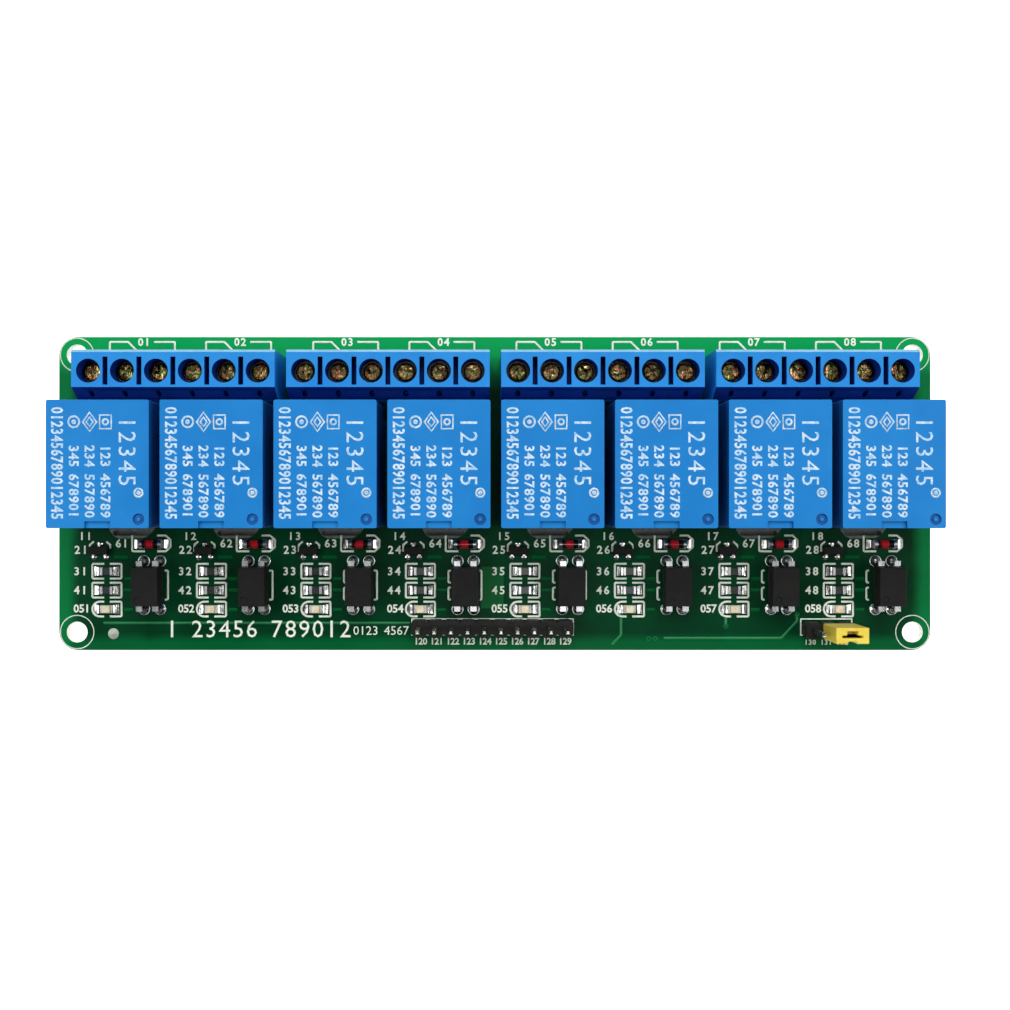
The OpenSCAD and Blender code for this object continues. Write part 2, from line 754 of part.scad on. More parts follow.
for (i = [0:channels - 1]) {
    relay_cover(i);
    relay_armature(i);
    optocoupler(i);
}
for (b = [0:blocks - 1])
    terminal_housing(b);
circuit_board();
solder_joints();
relay_bases();
relay_bobbins();
relay_windings();
relay_cores();
relay_yokes();
relay_hinge_springs();
relay_fixed_contacts();
relay_leads_all();  // relay_leads
terminal_screws();
terminal_cages();
terminal_contacts();
optocoupler_legs();
transistor_bodies();
transistor_leads();
resistor_bodies();
resistor_ends();
light_bases();
light_ends();
light_lenses();
diode_tubes();
diode_ends();
header_strip(input_places);  // input_header_strip
header_pins(input_places);  // input_header_pins
header_strip(jumper_places);  // jumper_header_strip
header_pins(jumper_places);  // jumper_header_pins
jumper_cap();
jumper_clip();
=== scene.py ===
# %% [markdown]
# # A relay module board
# Eight sealed relays stand in a row on one green circuit board. Every relay switches three screw
# terminals above it, and below it sit the parts that drive it: a transistor, an optocoupler, a
# glass diode, two chip resistors and a chip light. A row of pins at the lower edge brings the
# inputs in, and a yellow jumper cap sits on a second, shorter row of pins.
#
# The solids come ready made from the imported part. This lesson adds what solids leave out: softened
# edges, printing, tracks, pads, solder and the finish of every surface.

# %% Load the fixed frame
import math
import bmesh
import bpy
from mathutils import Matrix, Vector


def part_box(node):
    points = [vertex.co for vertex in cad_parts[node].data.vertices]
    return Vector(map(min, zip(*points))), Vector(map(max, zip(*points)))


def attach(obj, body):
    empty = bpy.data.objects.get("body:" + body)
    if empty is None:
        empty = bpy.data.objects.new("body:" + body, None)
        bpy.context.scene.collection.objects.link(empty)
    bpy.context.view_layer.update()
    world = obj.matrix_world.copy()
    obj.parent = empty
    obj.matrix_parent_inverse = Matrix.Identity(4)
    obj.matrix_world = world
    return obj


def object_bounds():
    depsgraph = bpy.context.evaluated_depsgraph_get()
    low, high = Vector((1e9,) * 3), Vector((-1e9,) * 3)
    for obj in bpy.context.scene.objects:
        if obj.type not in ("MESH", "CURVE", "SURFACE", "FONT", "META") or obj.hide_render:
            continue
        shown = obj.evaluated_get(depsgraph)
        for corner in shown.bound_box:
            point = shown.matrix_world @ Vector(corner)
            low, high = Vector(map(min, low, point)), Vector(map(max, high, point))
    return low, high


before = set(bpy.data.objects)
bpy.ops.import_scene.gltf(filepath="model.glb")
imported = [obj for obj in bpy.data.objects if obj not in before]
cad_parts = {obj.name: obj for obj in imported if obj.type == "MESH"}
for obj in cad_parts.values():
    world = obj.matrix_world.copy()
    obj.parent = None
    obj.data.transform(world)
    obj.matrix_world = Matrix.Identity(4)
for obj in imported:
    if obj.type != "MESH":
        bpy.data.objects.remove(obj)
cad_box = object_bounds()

MM = 0.001

def add_object(name, data):
    """An object at the origin that shows the given mesh, curve, lamp or camera."""
    thing = bpy.data.objects.new(name, data)
    bpy.context.scene.collection.objects.link(thing)
    return thing

print("box in mm:", [[round(v / MM, 2) for v in corner] for corner in cad_box])

# %% [markdown]
# ## Camera
# Such a board is usually pictured from straight above, so that every printed number can be read.
# The camera stands close enough for the tall relays to lean outwards a little. Its lens follows
# from two lengths that can be measured on a bench: how high it stands over the board, and how wide
# a piece of the bench it takes in at the board's top face. It stands a little left of the middle of
# its picture, and the lens is shifted back by the same amount.

# %% Camera
board_low, board_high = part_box("circuit_board")
board_top = board_high.z
stand_height = 187 * MM
bench_width = 160 * MM
picture_middle = Vector((1.62, -1.82)) * MM
stand_left = 3.5 * MM
camera_data = bpy.data.cameras.new("overhead_camera")
camera_data.lens = camera_data.sensor_width * stand_height / bench_width
camera_data.clip_start = 0.01
camera_data.shift_x = stand_left / bench_width
camera = add_object("overhead_camera", camera_data)
camera.location = (picture_middle.x - stand_left, picture_middle.y, board_top + stand_height)
bpy.context.scene.camera = camera
print("lens in mm:", round(camera_data.lens, 1))

# %% [markdown]
# ## Light
# One broad soft lamp hangs well over to the terminal side. It puts a bright line on the terminals'
# outer edge and leaves the screw wells' near walls dark. Two more stand at the two ends of the
# board: they reach the driver parts from the sides, where the relays do not stand in the way, but
# not the deep gaps between the relays. A small weak lamp overhead sets a spark on the solder, and
# the world adds a weak, even light from all round. To the camera the world is white, but in
# mirrors such as solder it is dim, or the small metal parts would all look like white paint.

# %% Lamps and world
def soft_lamp(name, place, width, power):
    """A square lamp that shines at the middle of the board."""
    data = bpy.data.lights.new(name, "AREA")
    data.shape = "RECTANGLE"
    data.size = data.size_y = width
    data.energy = power
    lamp = add_object(name, data)
    lamp.location = place
    lamp.rotation_euler = (-Vector(place)).to_track_quat("-Z", "Y").to_euler()

soft_lamp("bench_lamp", (0, 0.47, 0.67), 0.5, 4.2)
soft_lamp("left_lamp", (-0.55, 0.02, 0.6), 0.35, 2.0)
soft_lamp("right_lamp", (0.55, 0.02, 0.6), 0.35, 2.0)
soft_lamp("spark_lamp", (0.05, -0.08, 0.8), 0.18, 0.3)
bpy.context.scene.view_settings.view_transform = "Standard"

world = bpy.data.worlds.new("pale_room")
bpy.context.scene.world = world
world.use_nodes = True
room = world.node_tree
background = room.nodes["Background"]
background.inputs["Color"].default_value = (1, 1, 1, 1)
seen = room.nodes.new("ShaderNodeLightPath")
seen_straight = room.nodes.new("ShaderNodeMath")
seen_straight.operation = "MAXIMUM"
room_level = room.nodes.new("ShaderNodeMapRange")
room_level.inputs["To Min"].default_value = 0.055
room.links.new(seen.outputs["Is Camera Ray"], seen_straight.inputs[0])
room.links.new(seen.outputs["Is Transmission Ray"], seen_straight.inputs[1])
room.links.new(seen_straight.outputs[0], room_level.inputs["Value"])
room.links.new(room_level.outputs["Result"], background.inputs["Strength"])
print("lamps:", len(bpy.data.lights))

# %% [markdown]
# ## Helpers for places
# Many parts of one kind share one node, such as the sixteen chip resistors. Their places are read
# from that node: a copy of its mesh is merged, cut into its separate solids, and each solid gives
# its own box. So everything that is added later lands where the part puts it.

# %% Places of the parts
def solid_boxes(node):
    """Lowest and highest corner of each separate solid in a node, sorted from left to right."""
    shell = bmesh.new()
    shell.from_mesh(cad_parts[node].data)
    bmesh.ops.remove_doubles(shell, verts=shell.verts, dist=1e-7)
    left = set(shell.verts)
    boxes = []
    while left:
        stack = [left.pop()]
        corners = []
        while stack:
            vert = stack.pop()
            corners.append(vert.co.copy())
            for edge in vert.link_edges:
                other = edge.other_vert(vert)
                if other in left:
                    left.remove(other)
                    stack.append(other)
        low = Vector(min(c[i] for c in corners) for i in range(3))
        high = Vector(max(c[i] for c in corners) for i in range(3))
        boxes.append((low, high))
    shell.free()
    return sorted(boxes, key=lambda b: (round(b[0].x, 5), round(b[0].y, 5)))

def middles(node):
    return [(low + high) / 2 for low, high in solid_boxes(node)]

def node_middle(node):
    low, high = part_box(node)
    return (low + high) / 2

relay_names = sorted(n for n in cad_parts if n.startswith("relay_cover_"))
block_names = sorted(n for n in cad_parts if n.startswith("terminal_housing_"))
opto_names = sorted(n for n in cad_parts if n.startswith("optocoupler_") and n[-1].isdigit())
relay_middles = [node_middle(n) for n in relay_names]
opto_middles = [node_middle(n) for n in opto_names]
screw_middles = middles("terminal_screws")
resistor_middles = middles("resistor_bodies")
light_middles = middles("light_bases")
transistor_middles = middles("transistor_bodies")
diode_middles = middles("diode_tubes")
input_pins = middles("input_header_pins")
jumper_pins = middles("jumper_header_pins")
channels = len(relay_names)

def channel_screws(number):
    """The middles of the screws that one relay switches, from left to right."""
    poles = len(screw_middles) // channels
    return screw_middles[number * poles:(number + 1) * poles]

relay_pitch = relay_middles[1].x - relay_middles[0].x
relay_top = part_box(relay_names[0])[1].z
print("relays:", channels, "pitch in mm:", round(relay_pitch / MM, 3), "screws:", len(screw_middles))

# %% [markdown]
# ## Helpers for shader node groups
# Several finishes share one effect, such as the fine grain of moulded plastic. A node group holds
# the effect once, with named inputs, and each material places it with values of its own. A group
# gives out only colours, masks and heights, and the shader stays in the material.

# %% Building shader groups and materials
SOCKETS = {float: "NodeSocketFloat", tuple: "NodeSocketColor"}

def paint(red, green, blue):
    """A colour written as it looks on a screen, from 0 to 255, as the shader's linear colour."""
    def linear(v):
        v /= 255
        return v / 12.92 if v <= 0.04045 else ((v + 0.055) / 1.055) ** 2.4
    return (linear(red), linear(green), linear(blue), 1.0)

def new_group(name, inputs, outputs):
    tree = bpy.data.node_groups.new(name, "ShaderNodeTree")
    for label, value in inputs.items():
        socket = tree.interface.new_socket(label, in_out="INPUT", socket_type=SOCKETS[type(value)])
        socket.default_value = value
    for label, value in outputs.items():
        tree.interface.new_socket(label, in_out="OUTPUT", socket_type=SOCKETS[type(value)])
    return tree, tree.nodes.new("NodeGroupInput"), tree.nodes.new("NodeGroupOutput")

def add_node(tree, kind, settings=None, **values):
    """A node with its settings, and each named socket given a value or a link."""
    node = tree.nodes.new(kind)
    for key, value in (settings or {}).items():
        setattr(node, key, value)
    for key, value in values.items():
        socket = node.inputs[int(key[1:])] if key[1:].isdigit() else node.inputs[key.replace("_", " ")]
        if isinstance(value, bpy.types.NodeSocket):
            tree.links.new(value, socket)
        else:
            socket.default_value = value
    return node

def calc(tree, operation, a, b=0.0, c=0.0):
    return add_node(tree, "ShaderNodeMath", {"operation": operation}, _0=a, _1=b, _2=c).outputs[0]

def blend_colour(tree, factor, a, b):
    mix = add_node(tree, "ShaderNodeMix", {"data_type": "RGBA"})
    for index, value in ((0, factor), (6, a), (7, b)):
        if isinstance(value, bpy.types.NodeSocket):
            tree.links.new(value, mix.inputs[index])
        else:
            mix.inputs[index].default_value = value
    return mix.outputs[2]

def from_nearest(tree, value, first, pitch):
    """How far a value lies from the nearest of many middles, which stand one pitch apart."""
    from_edge = calc(tree, "SUBTRACT", value, first - pitch / 2)
    return calc(tree, "SUBTRACT", calc(tree, "FLOORED_MODULO", from_edge, pitch), pitch / 2)

def object_place(tree):
    return add_node(tree, "ShaderNodeTexCoord").outputs["Object"]

def bare_material(name, **shader):
    """A Principled material, its node tree and its shader, with some of the shader's numbers."""
    material = bpy.data.materials.new(name)
    material.use_nodes = True
    bsdf = material.node_tree.nodes["Principled BSDF"]
    for key, value in shader.items():
        bsdf.inputs[key.replace("_", " ")].default_value = value
    return material, material.node_tree, bsdf

def group_material(name, group, values, bump, reach, shader):
    """A material whose colour, roughness and relief come from a group with its own values."""
    material, tree, bsdf = bare_material(name, **shader)
    place = add_node(tree, "ShaderNodeGroup", {"node_tree": group})
    for key, value in values.items():
        place.inputs[key].default_value = value
    tree.links.new(place.outputs["Colour"], bsdf.inputs["Base Color"])
    tree.links.new(place.outputs["Roughness"], bsdf.inputs["Roughness"])
    relief = add_node(tree, "ShaderNodeBump", Strength=bump, Distance=reach,
                      Height=place.outputs["Height"])
    tree.links.new(relief.outputs["Normal"], bsdf.inputs["Normal"])
    return material

# %% [markdown]
# ## Three effects
# Moulded plastic is never one flat tone. The melt cools unevenly, which leaves broad soft patches,
# and the steel mould leaves a fine grain that scatters the light. Two noises of very different
# size make both. Plated and soldered metal has streaks and dull spots instead: a noise that is
# stretched along one direction stands for the marks of rolling and handling.

# %% Group: moulded plastic
moulded, ins, outs = new_group(
    "moulded_plastic",
    {"Colour": (0.5, 0.5, 0.5, 1.0), "Shade": (0.3, 0.3, 0.3, 1.0), "Patch Scale": 120.0,
     "Grain Scale": 4000.0, "Dullness": 0.45, "Speckle": 0.3},
    {"Colour": (0.0, 0.0, 0.0, 1.0), "Roughness": 0.5, "Height": 0.0})
where = object_place(moulded)
patches = add_node(moulded, "ShaderNodeTexNoise", Vector=where, Scale=ins.outputs["Patch Scale"],
                   Detail=3.0, Roughness=0.6).outputs["Fac"]
grain = add_node(moulded, "ShaderNodeTexNoise", Vector=where, Scale=ins.outputs["Grain Scale"],
                 Detail=2.0).outputs["Fac"]
spread = add_node(moulded, "ShaderNodeMapRange", Value=patches, From_Min=0.35, From_Max=0.65)
specks = calc(moulded, "MULTIPLY", calc(moulded, "SUBTRACT", grain, 0.5), ins.outputs["Speckle"])
tone = add_node(moulded, "ShaderNodeClamp", Value=calc(moulded, "ADD", spread.outputs[0], specks))
moulded.links.new(blend_colour(moulded, tone.outputs[0], ins.outputs["Shade"],
                               ins.outputs["Colour"]), outs.inputs["Colour"])
dull = calc(moulded, "MULTIPLY_ADD", calc(moulded, "SUBTRACT", patches, 0.5), 0.25,
            ins.outputs["Dullness"])
moulded.links.new(dull, outs.inputs["Roughness"])
moulded.links.new(grain, outs.inputs["Height"])

def plastic(name, colour, shade, dullness, patch=120.0, grain=4000.0, speckle=0.3, bump=0.3, **shader):
    """A moulded finish in two tones. The scales of its patches and grain are per metre."""
    values = {"Colour": paint(*colour), "Shade": paint(*shade), "Patch Scale": patch,
              "Grain Scale": grain, "Dullness": dullness, "Speckle": speckle}
    return group_material(name, moulded, values, bump, 0.05 * MM, shader)

print("group", moulded.name, "with", len(moulded.nodes), "nodes")

# %% Group: worked metal
metal, ins, outs = new_group(
    "worked_metal",
    {"Colour": (0.8, 0.8, 0.8, 1.0), "Tarnish": (0.4, 0.4, 0.4, 1.0), "Tarnish Share": 0.4,
     "Streak Scale": 900.0, "Dullness": 0.25},
    {"Colour": (0.0, 0.0, 0.0, 1.0), "Roughness": 0.5, "Height": 0.0})
where = object_place(metal)
drawn = add_node(metal, "ShaderNodeMapping", Vector=where, Scale=(1.0, 0.18, 1.0)).outputs[0]
streaks = add_node(metal, "ShaderNodeTexNoise", Vector=drawn, Scale=ins.outputs["Streak Scale"],
                   Detail=4.0).outputs["Fac"]
blotches = add_node(metal, "ShaderNodeTexNoise", Vector=where, Scale=700.0, Detail=2.0).outputs["Fac"]
dirt = add_node(metal, "ShaderNodeMapRange", Value=blotches, From_Min=0.42, From_Max=0.68)
share = calc(metal, "MULTIPLY", dirt.outputs[0], ins.outputs["Tarnish Share"])
metal.links.new(blend_colour(metal, share, ins.outputs["Colour"], ins.outputs["Tarnish"]),
                outs.inputs["Colour"])
metal.links.new(calc(metal, "MULTIPLY_ADD", calc(metal, "SUBTRACT", streaks, 0.5), 0.3,
                     ins.outputs["Dullness"]), outs.inputs["Roughness"])
metal.links.new(calc(metal, "ADD", streaks, blotches), outs.inputs["Height"])

def worked(name, colour, tarnish, dullness, share=0.4, streak=900.0, bump=0.3, reach=0.05 * MM,
           metallic=1.0):
    """A metal finish that changes from its colour to its tarnish in streaks and spots."""
    values = {"Colour": paint(*colour), "Tarnish": paint(*tarnish), "Tarnish Share": share,
              "Streak Scale": streak, "Dullness": dullness}
    return group_material(name, metal, values, bump, reach, {"Metallic": metallic})

print("group", metal.name, "with", len(metal.nodes), "nodes")

# %% [markdown]
# The green lacquer gets painted light: a soft band along each edge is painted brighter, and the
# middle, in among the parts, stays darker. The third group measures how far a point lies from each of
# the four edges, and turns each distance into a soft band of its own width and strength.

# %% Group: painted light in bands along the board's edges
painted_edge_light, ins, outs = new_group(
    "painted_edge_light",
    {"Half Length": 0.069, "Half Width": 0.025, "End Reach": 0.0034, "Upper Reach": 0.009,
     "Lower Reach": 0.003, "End Share": 0.46, "Lower Share": 0.24},
    {"Mask": 0.0})
where = object_place(painted_edge_light)
axes = add_node(painted_edge_light, "ShaderNodeSeparateXYZ", Vector=where)
wander = add_node(painted_edge_light, "ShaderNodeTexNoise", Vector=where, Scale=260.0, Detail=2.0)
shift = calc(painted_edge_light, "MULTIPLY", calc(painted_edge_light, "SUBTRACT", wander.outputs["Fac"], 0.5), 0.25)

def edge_fade(distance, reach):
    share = calc(painted_edge_light, "ADD", calc(painted_edge_light, "DIVIDE", distance, reach), shift)
    fade = add_node(painted_edge_light, "ShaderNodeMapRange", {"interpolation_type": "SMOOTHSTEP"},
                    Value=share, From_Min=0.3, From_Max=1.0, To_Min=1.0, To_Max=0.0)
    return fade.outputs[0]

to_end = calc(painted_edge_light, "SUBTRACT", ins.outputs["Half Length"],
              calc(painted_edge_light, "ABSOLUTE", axes.outputs["X"]))
to_upper = calc(painted_edge_light, "SUBTRACT", ins.outputs["Half Width"], axes.outputs["Y"])
to_lower = calc(painted_edge_light, "ADD", ins.outputs["Half Width"], axes.outputs["Y"])
ends = calc(painted_edge_light, "MULTIPLY", edge_fade(to_end, ins.outputs["End Reach"]),
            ins.outputs["End Share"])
upper = edge_fade(to_upper, ins.outputs["Upper Reach"])
lower = calc(painted_edge_light, "MULTIPLY", edge_fade(to_lower, ins.outputs["Lower Reach"]),
             ins.outputs["Lower Share"])
painted_edge_light.links.new(calc(painted_edge_light, "MAXIMUM", calc(painted_edge_light, "MAXIMUM", ends, upper), lower),
                    outs.inputs["Mask"])
print("group", painted_edge_light.name, "with", len(painted_edge_light.nodes), "nodes")

# %% [markdown]
# ## The circuit board
# A board is glass cloth in resin, with copper on both faces and a green lacquer over the copper.
# Its flat faces get the lacquer and its cut edges show the bare laminate. In the mounting holes that
# laminate is painted near white and given a faint glow, as painted light, so the holes look bright. In
# the slot under each relay it is painted dark grey, as painted shade. So the faces of the node are
# sorted by their direction and their place into four material slots. The lacquer's shine is low and
# soft.

# %% Board materials
half_length = (board_high.x - board_low.x) / 2
half_width = (board_high.y - board_low.y) / 2

def lacquer(name, dark, mid, bright, sheen=0.06):
    """Green lacquer in two random tones, with painted light in bands along the board's edges."""
    material, tree, bsdf = bare_material(name, Specular_IOR_Level=sheen)
    band = add_node(tree, "ShaderNodeGroup", {"node_tree": painted_edge_light})
    band.inputs["Half Length"].default_value = half_length
    band.inputs["Half Width"].default_value = half_width
    coat = add_node(tree, "ShaderNodeGroup", {"node_tree": moulded})
    coat.inputs["Colour"].default_value = mid
    coat.inputs["Shade"].default_value = dark
    coat.inputs["Patch Scale"].default_value = 70.0
    coat.inputs["Grain Scale"].default_value = 1500.0
    coat.inputs["Dullness"].default_value = 0.32
    # The edge bands blend the lacquer towards its last colour, which is painted light.
    tree.links.new(blend_colour(tree, band.outputs["Mask"], coat.outputs["Colour"], bright),
                   bsdf.inputs["Base Color"])
    tree.links.new(coat.outputs["Roughness"], bsdf.inputs["Roughness"])
    relief = add_node(tree, "ShaderNodeBump", Strength=0.15, Distance=0.02 * MM,
                      Height=coat.outputs["Height"])
    tree.links.new(relief.outputs["Normal"], bsdf.inputs["Normal"])
    return material

# The last colour of each lacquer is the painted light in its edge bands.
green_lacquer = lacquer("green_lacquer", paint(0, 48, 25), paint(0, 66, 36), paint(6, 156, 80))
track_lacquer = lacquer("lacquer_over_copper", paint(0, 86, 40), paint(2, 100, 48),
                        paint(10, 166, 88), 0.1)
bright_lacquer = lacquer("lacquer_over_narrow_track", paint(24, 108, 62), paint(46, 134, 80),
                         paint(56, 178, 108), 0.25)
cut_laminate = plastic("cut_laminate", (122, 150, 92), (84, 118, 66), 0.6, patch=500.0,
                       grain=3000.0, bump=0.4, Specular_IOR_Level=0.3)

# The walls of the mounting holes are painted near white and glow a little: painted light.
hole_wall_painted_glow = plastic("hole_wall_painted_glow", (250, 250, 240), (232, 232, 214), 0.6, patch=900.0,
                           grain=3000.0, bump=0.4, Specular_IOR_Level=0.3,
                           Emission_Color=(1, 1, 1, 1), Emission_Strength=0.3)

hole_inset = 2.85 * MM
hole_zone = 2 * MM
board_middle = (board_low + board_high) / 2

def in_mounting_hole(point):
    beyond_x = abs(point.x - board_middle.x) - (half_length - hole_inset)
    beyond_y = abs(point.y - board_middle.y) - (half_width - hole_inset)
    return math.hypot(beyond_x, beyond_y) < hole_zone

# The walls of the slots are painted dark grey: painted shade.
slot_wall_painted_shade = plastic("slot_wall_painted_shade", (88, 94, 86), (66, 72, 66), 0.8, patch=900.0,
                          grain=3000.0, bump=0.5, Specular_IOR_Level=0.1)
slot_below_cover = 1.1 * MM
slot_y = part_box(relay_names[0])[0].y - slot_below_cover

def in_slot(point):
    return abs(point.y - slot_y) < 0.5 * MM and abs(point.z - board_middle.z) < 0.9 * MM

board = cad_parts["circuit_board"]
board.data.materials.clear()
for finish_of_board in (green_lacquer, cut_laminate, hole_wall_painted_glow, slot_wall_painted_shade):
    board.data.materials.append(finish_of_board)
for face in board.data.polygons:
    cut = 2 if in_mounting_hole(face.center) else 3 if in_slot(face.center) else 1
    face.material_index = 0 if abs(face.normal.z) > 0.5 else cut
for index, material in enumerate(board.data.materials):
    print(material.name, "faces:", sum(f.material_index == index for f in board.data.polygons))

# %% [markdown]
# ## Softened edges
# Moulded and stamped parts never have knife edges, and a soft edge catches a thin line of light.
# Modifiers can round the solids that come from the part: Weld joins their loose triangles,
# Decimate clears the flat faces, a small node tree drops the stored normals, and Bevel rounds each
# sharp edge. Triangulate then cuts the flats evenly, without the slivers that show as thin lines.
# Rounding by hand on a copy would also do, but this way the solid stays as it is. The covers get
# the smallest radius: a cleared top keeps one edge from the vent to the corner, and a wide round
# there would show as a thin line.

# %% Soften the solids
forget_normals = bpy.data.node_groups.new("forget_normals", "GeometryNodeTree")
forget_normals.interface.new_socket("Geometry", in_out="INPUT", socket_type="NodeSocketGeometry")
forget_normals.interface.new_socket("Geometry", in_out="OUTPUT", socket_type="NodeSocketGeometry")
shape_in = forget_normals.nodes.new("NodeGroupInput")
shape_out = forget_normals.nodes.new("NodeGroupOutput")
clear = forget_normals.nodes.new("GeometryNodeSetMeshNormal")
clear.inputs["Remove Custom"].default_value = True
forget_normals.links.new(shape_in.outputs[0], clear.inputs["Mesh"])
forget_normals.links.new(clear.outputs[0], shape_out.inputs[0])

def soften(node, radius, segments=2):
    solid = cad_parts[node]
    weld = solid.modifiers.new("join_triangles", "WELD")
    weld.merge_threshold = 1e-6
    flats = solid.modifiers.new("clear_flats", "DECIMATE")
    flats.decimate_type = "DISSOLVE"
    flats.angle_limit = math.radians(0.5)
    plain = solid.modifiers.new("forget_normals", "NODES")
    plain.node_group = forget_normals
    bevel = solid.modifiers.new("round_edges", "BEVEL")
    bevel.width = radius
    bevel.segments = segments
    bevel.limit_method = "ANGLE"
    bevel.angle_limit = math.radians(40)
    bevel.harden_normals = True
    even = solid.modifiers.new("even_triangles", "TRIANGULATE")
    even.ngon_method = "BEAUTY"
    even.keep_custom_normals = True

for name in relay_names:
    soften(name, 0.045 * MM)
for name in block_names:
    soften(name, 0.16 * MM)
for name in opto_names:
    soften(name, 0.12 * MM)
for name in ("input_header_strip", "jumper_header_strip"):
    soften(name, 0.1 * MM)
soften("jumper_cap", 0.18 * MM)
soften("terminal_screws", 0.12 * MM)
soften("light_lenses", 0.12 * MM)
soften("transistor_bodies", 0.1 * MM)
for name in ("resistor_ends", "resistor_bodies", "light_ends", "light_bases"):
    soften(name, 0.04 * MM, 1)
print("softened solids:", sum(bool(o.modifiers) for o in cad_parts.values()))

# %% [markdown]
# ## Finishes of the solids
# Each slot of the part gets its own finish. Plastics take the moulded group and metals the worked
# metal group. Numbers that are the same all over, such as a clear coat, stand on the shader.

# %% Plastics
relay_blue = plastic("relay_blue", (26, 134, 212), (20, 126, 204), 0.42, patch=90.0, grain=5000.0,
                     speckle=0.4, bump=0.25, Specular_IOR_Level=0.18)
base_blue = plastic("base_blue", (28, 96, 170), (22, 84, 156), 0.55, Specular_IOR_Level=0.3)
terminal_blue = plastic("terminal_blue", (32, 144, 224), (26, 134, 216), 0.4, patch=150.0,
                        grain=4500.0, speckle=0.4, Specular_IOR_Level=0.22)
# The blocks' outer chamfer: a painted highlight.
terminal_painted_highlight = plastic("terminal_painted_highlight", (140, 192, 226), (120, 180, 220), 0.35, patch=600.0,
                        grain=4500.0, speckle=0.4, Specular_IOR_Level=0.4)
# The blocks' wells, slots and slope: painted shade.
terminal_painted_shade = plastic("terminal_painted_shade", (14, 58, 150), (10, 48, 136), 0.6, patch=150.0,
                         grain=4500.0, speckle=0.4, Specular_IOR_Level=0.15)
# The covers' upright sides and vents: a deeper blue as painted shade.
relay_side_painted_shade = plastic("relay_side_painted_shade", (24, 94, 168), (18, 84, 156), 0.5, patch=90.0, grain=5000.0,
                     speckle=0.4, bump=0.25, Specular_IOR_Level=0.2)
chip_black = plastic("chip_black", (24, 25, 23), (15, 16, 15), 0.6, patch=400.0, grain=7000.0,
                     speckle=0.8, bump=0.6, Specular_IOR_Level=0.2)
header_black = plastic("header_black", (25, 26, 26), (16, 17, 17), 0.5, patch=300.0, grain=5000.0,
                       speckle=0.6, bump=0.4, Specular_IOR_Level=0.25)
resistor_glaze = plastic("resistor_glaze", (36, 36, 40), (22, 22, 26), 0.35, patch=900.0,
                         grain=6000.0, speckle=0.5, bump=0.2, Coat_Weight=0.5, Coat_Roughness=0.15)
jumper_yellow = plastic("jumper_yellow", (248, 226, 90), (240, 210, 66), 0.42, patch=300.0,
                        grain=4500.0, speckle=0.4, Specular_IOR_Level=0.4)
bobbin_cream = plastic("bobbin_cream", (230, 226, 206), (214, 208, 184), 0.5,
                       Specular_IOR_Level=0.35)
light_body = plastic("light_body", (236, 232, 220), (220, 212, 194), 0.5, patch=900.0, grain=6000.0,
                     bump=0.2)
light_resin = plastic("light_resin", (246, 238, 212), (232, 210, 168), 0.3, patch=1100.0,
                      grain=6000.0, speckle=0.5, bump=0.15, Coat_Weight=0.6, Coat_Roughness=0.1,
                      Subsurface_Weight=0.2, Subsurface_Scale=0.3 * MM)
print("plastic finishes made")

# %% Metals
tin_plate = worked("tin_plate", (232, 234, 236), (170, 172, 176), 0.28, bump=0.15)
solder_metal = worked("solder_metal", (222, 222, 220), (92, 90, 90), 0.24, share=0.85,
                      streak=1400.0, bump=0.9, reach=0.1 * MM)
dull_solder = worked("dull_solder", (76, 86, 82), (30, 40, 36), 0.4, share=0.9, streak=1400.0,
                     bump=0.5)
# The cage zinc is painted darker than bare zinc, as painted shade where it shows in the gaps round the
# screws.
cage_zinc_painted_shade = worked("cage_zinc_painted_shade", (120, 120, 118), (66, 66, 64), 0.5)
plated_iron = worked("plated_iron", (190, 192, 196), (130, 132, 136), 0.36)
bronze_strip = worked("bronze_strip", (222, 170, 104), (160, 108, 60), 0.3, bump=0.2)
soft_tin = worked("soft_tin", (226, 224, 214), (150, 148, 142), 0.46, share=0.6, metallic=0.7)
pin_plate = worked("pin_plate", (206, 204, 194), (130, 124, 108), 0.24, bump=0.2)
print("metal finishes made")

# %% [markdown]
# The terminal screws are plated with zinc and passivated, which leaves red and green clouds on the
# yellow. Their rims lie in the shade of the wells, and a dark ring there is painted shade. The 24
# screws share one node, so two modulos, one by the blocks' pitch and one by the poles', give the place
# in each head.

# %% Passivated zinc
screw_low, screw_high = solid_boxes("terminal_screws")[0]
head_radius = (screw_high.x - screw_low.x) / 2
pole_pitch = screw_middles[1].x - screw_middles[0].x
poles_per_block = len(screw_middles) // len(block_names)
block_pitch = screw_middles[poles_per_block].x - screw_middles[0].x
green_zinc, red_zinc, rim_painted_shade = (156, 166, 100), (210, 152, 116), (18, 17, 12)
yellow_zinc = worked("yellow_zinc", green_zinc, (14, 16, 6), 0.2, share=1.0, streak=1200.0,
                     bump=1.0, reach=0.16 * MM)
tree = yellow_zinc.node_tree
where = object_place(tree)
cloud = add_node(tree, "ShaderNodeTexNoise", Vector=where, Scale=900.0, Detail=1.0)
tint = add_node(tree, "ShaderNodeMapRange", Value=cloud.outputs["Fac"], From_Min=0.4, From_Max=0.6)
zinc_colour = blend_colour(tree, tint.outputs[0], paint(*green_zinc), paint(*red_zinc))
axes = add_node(tree, "ShaderNodeSeparateXYZ", Vector=where)
from_first = calc(tree, "SUBTRACT", axes.outputs["X"], screw_middles[0].x - pole_pitch / 2)
in_block = calc(tree, "FLOORED_MODULO", from_first, block_pitch)
off_x = from_nearest(tree, in_block, pole_pitch / 2, pole_pitch)
off_y = calc(tree, "SUBTRACT", axes.outputs["Y"], screw_middles[0].y)
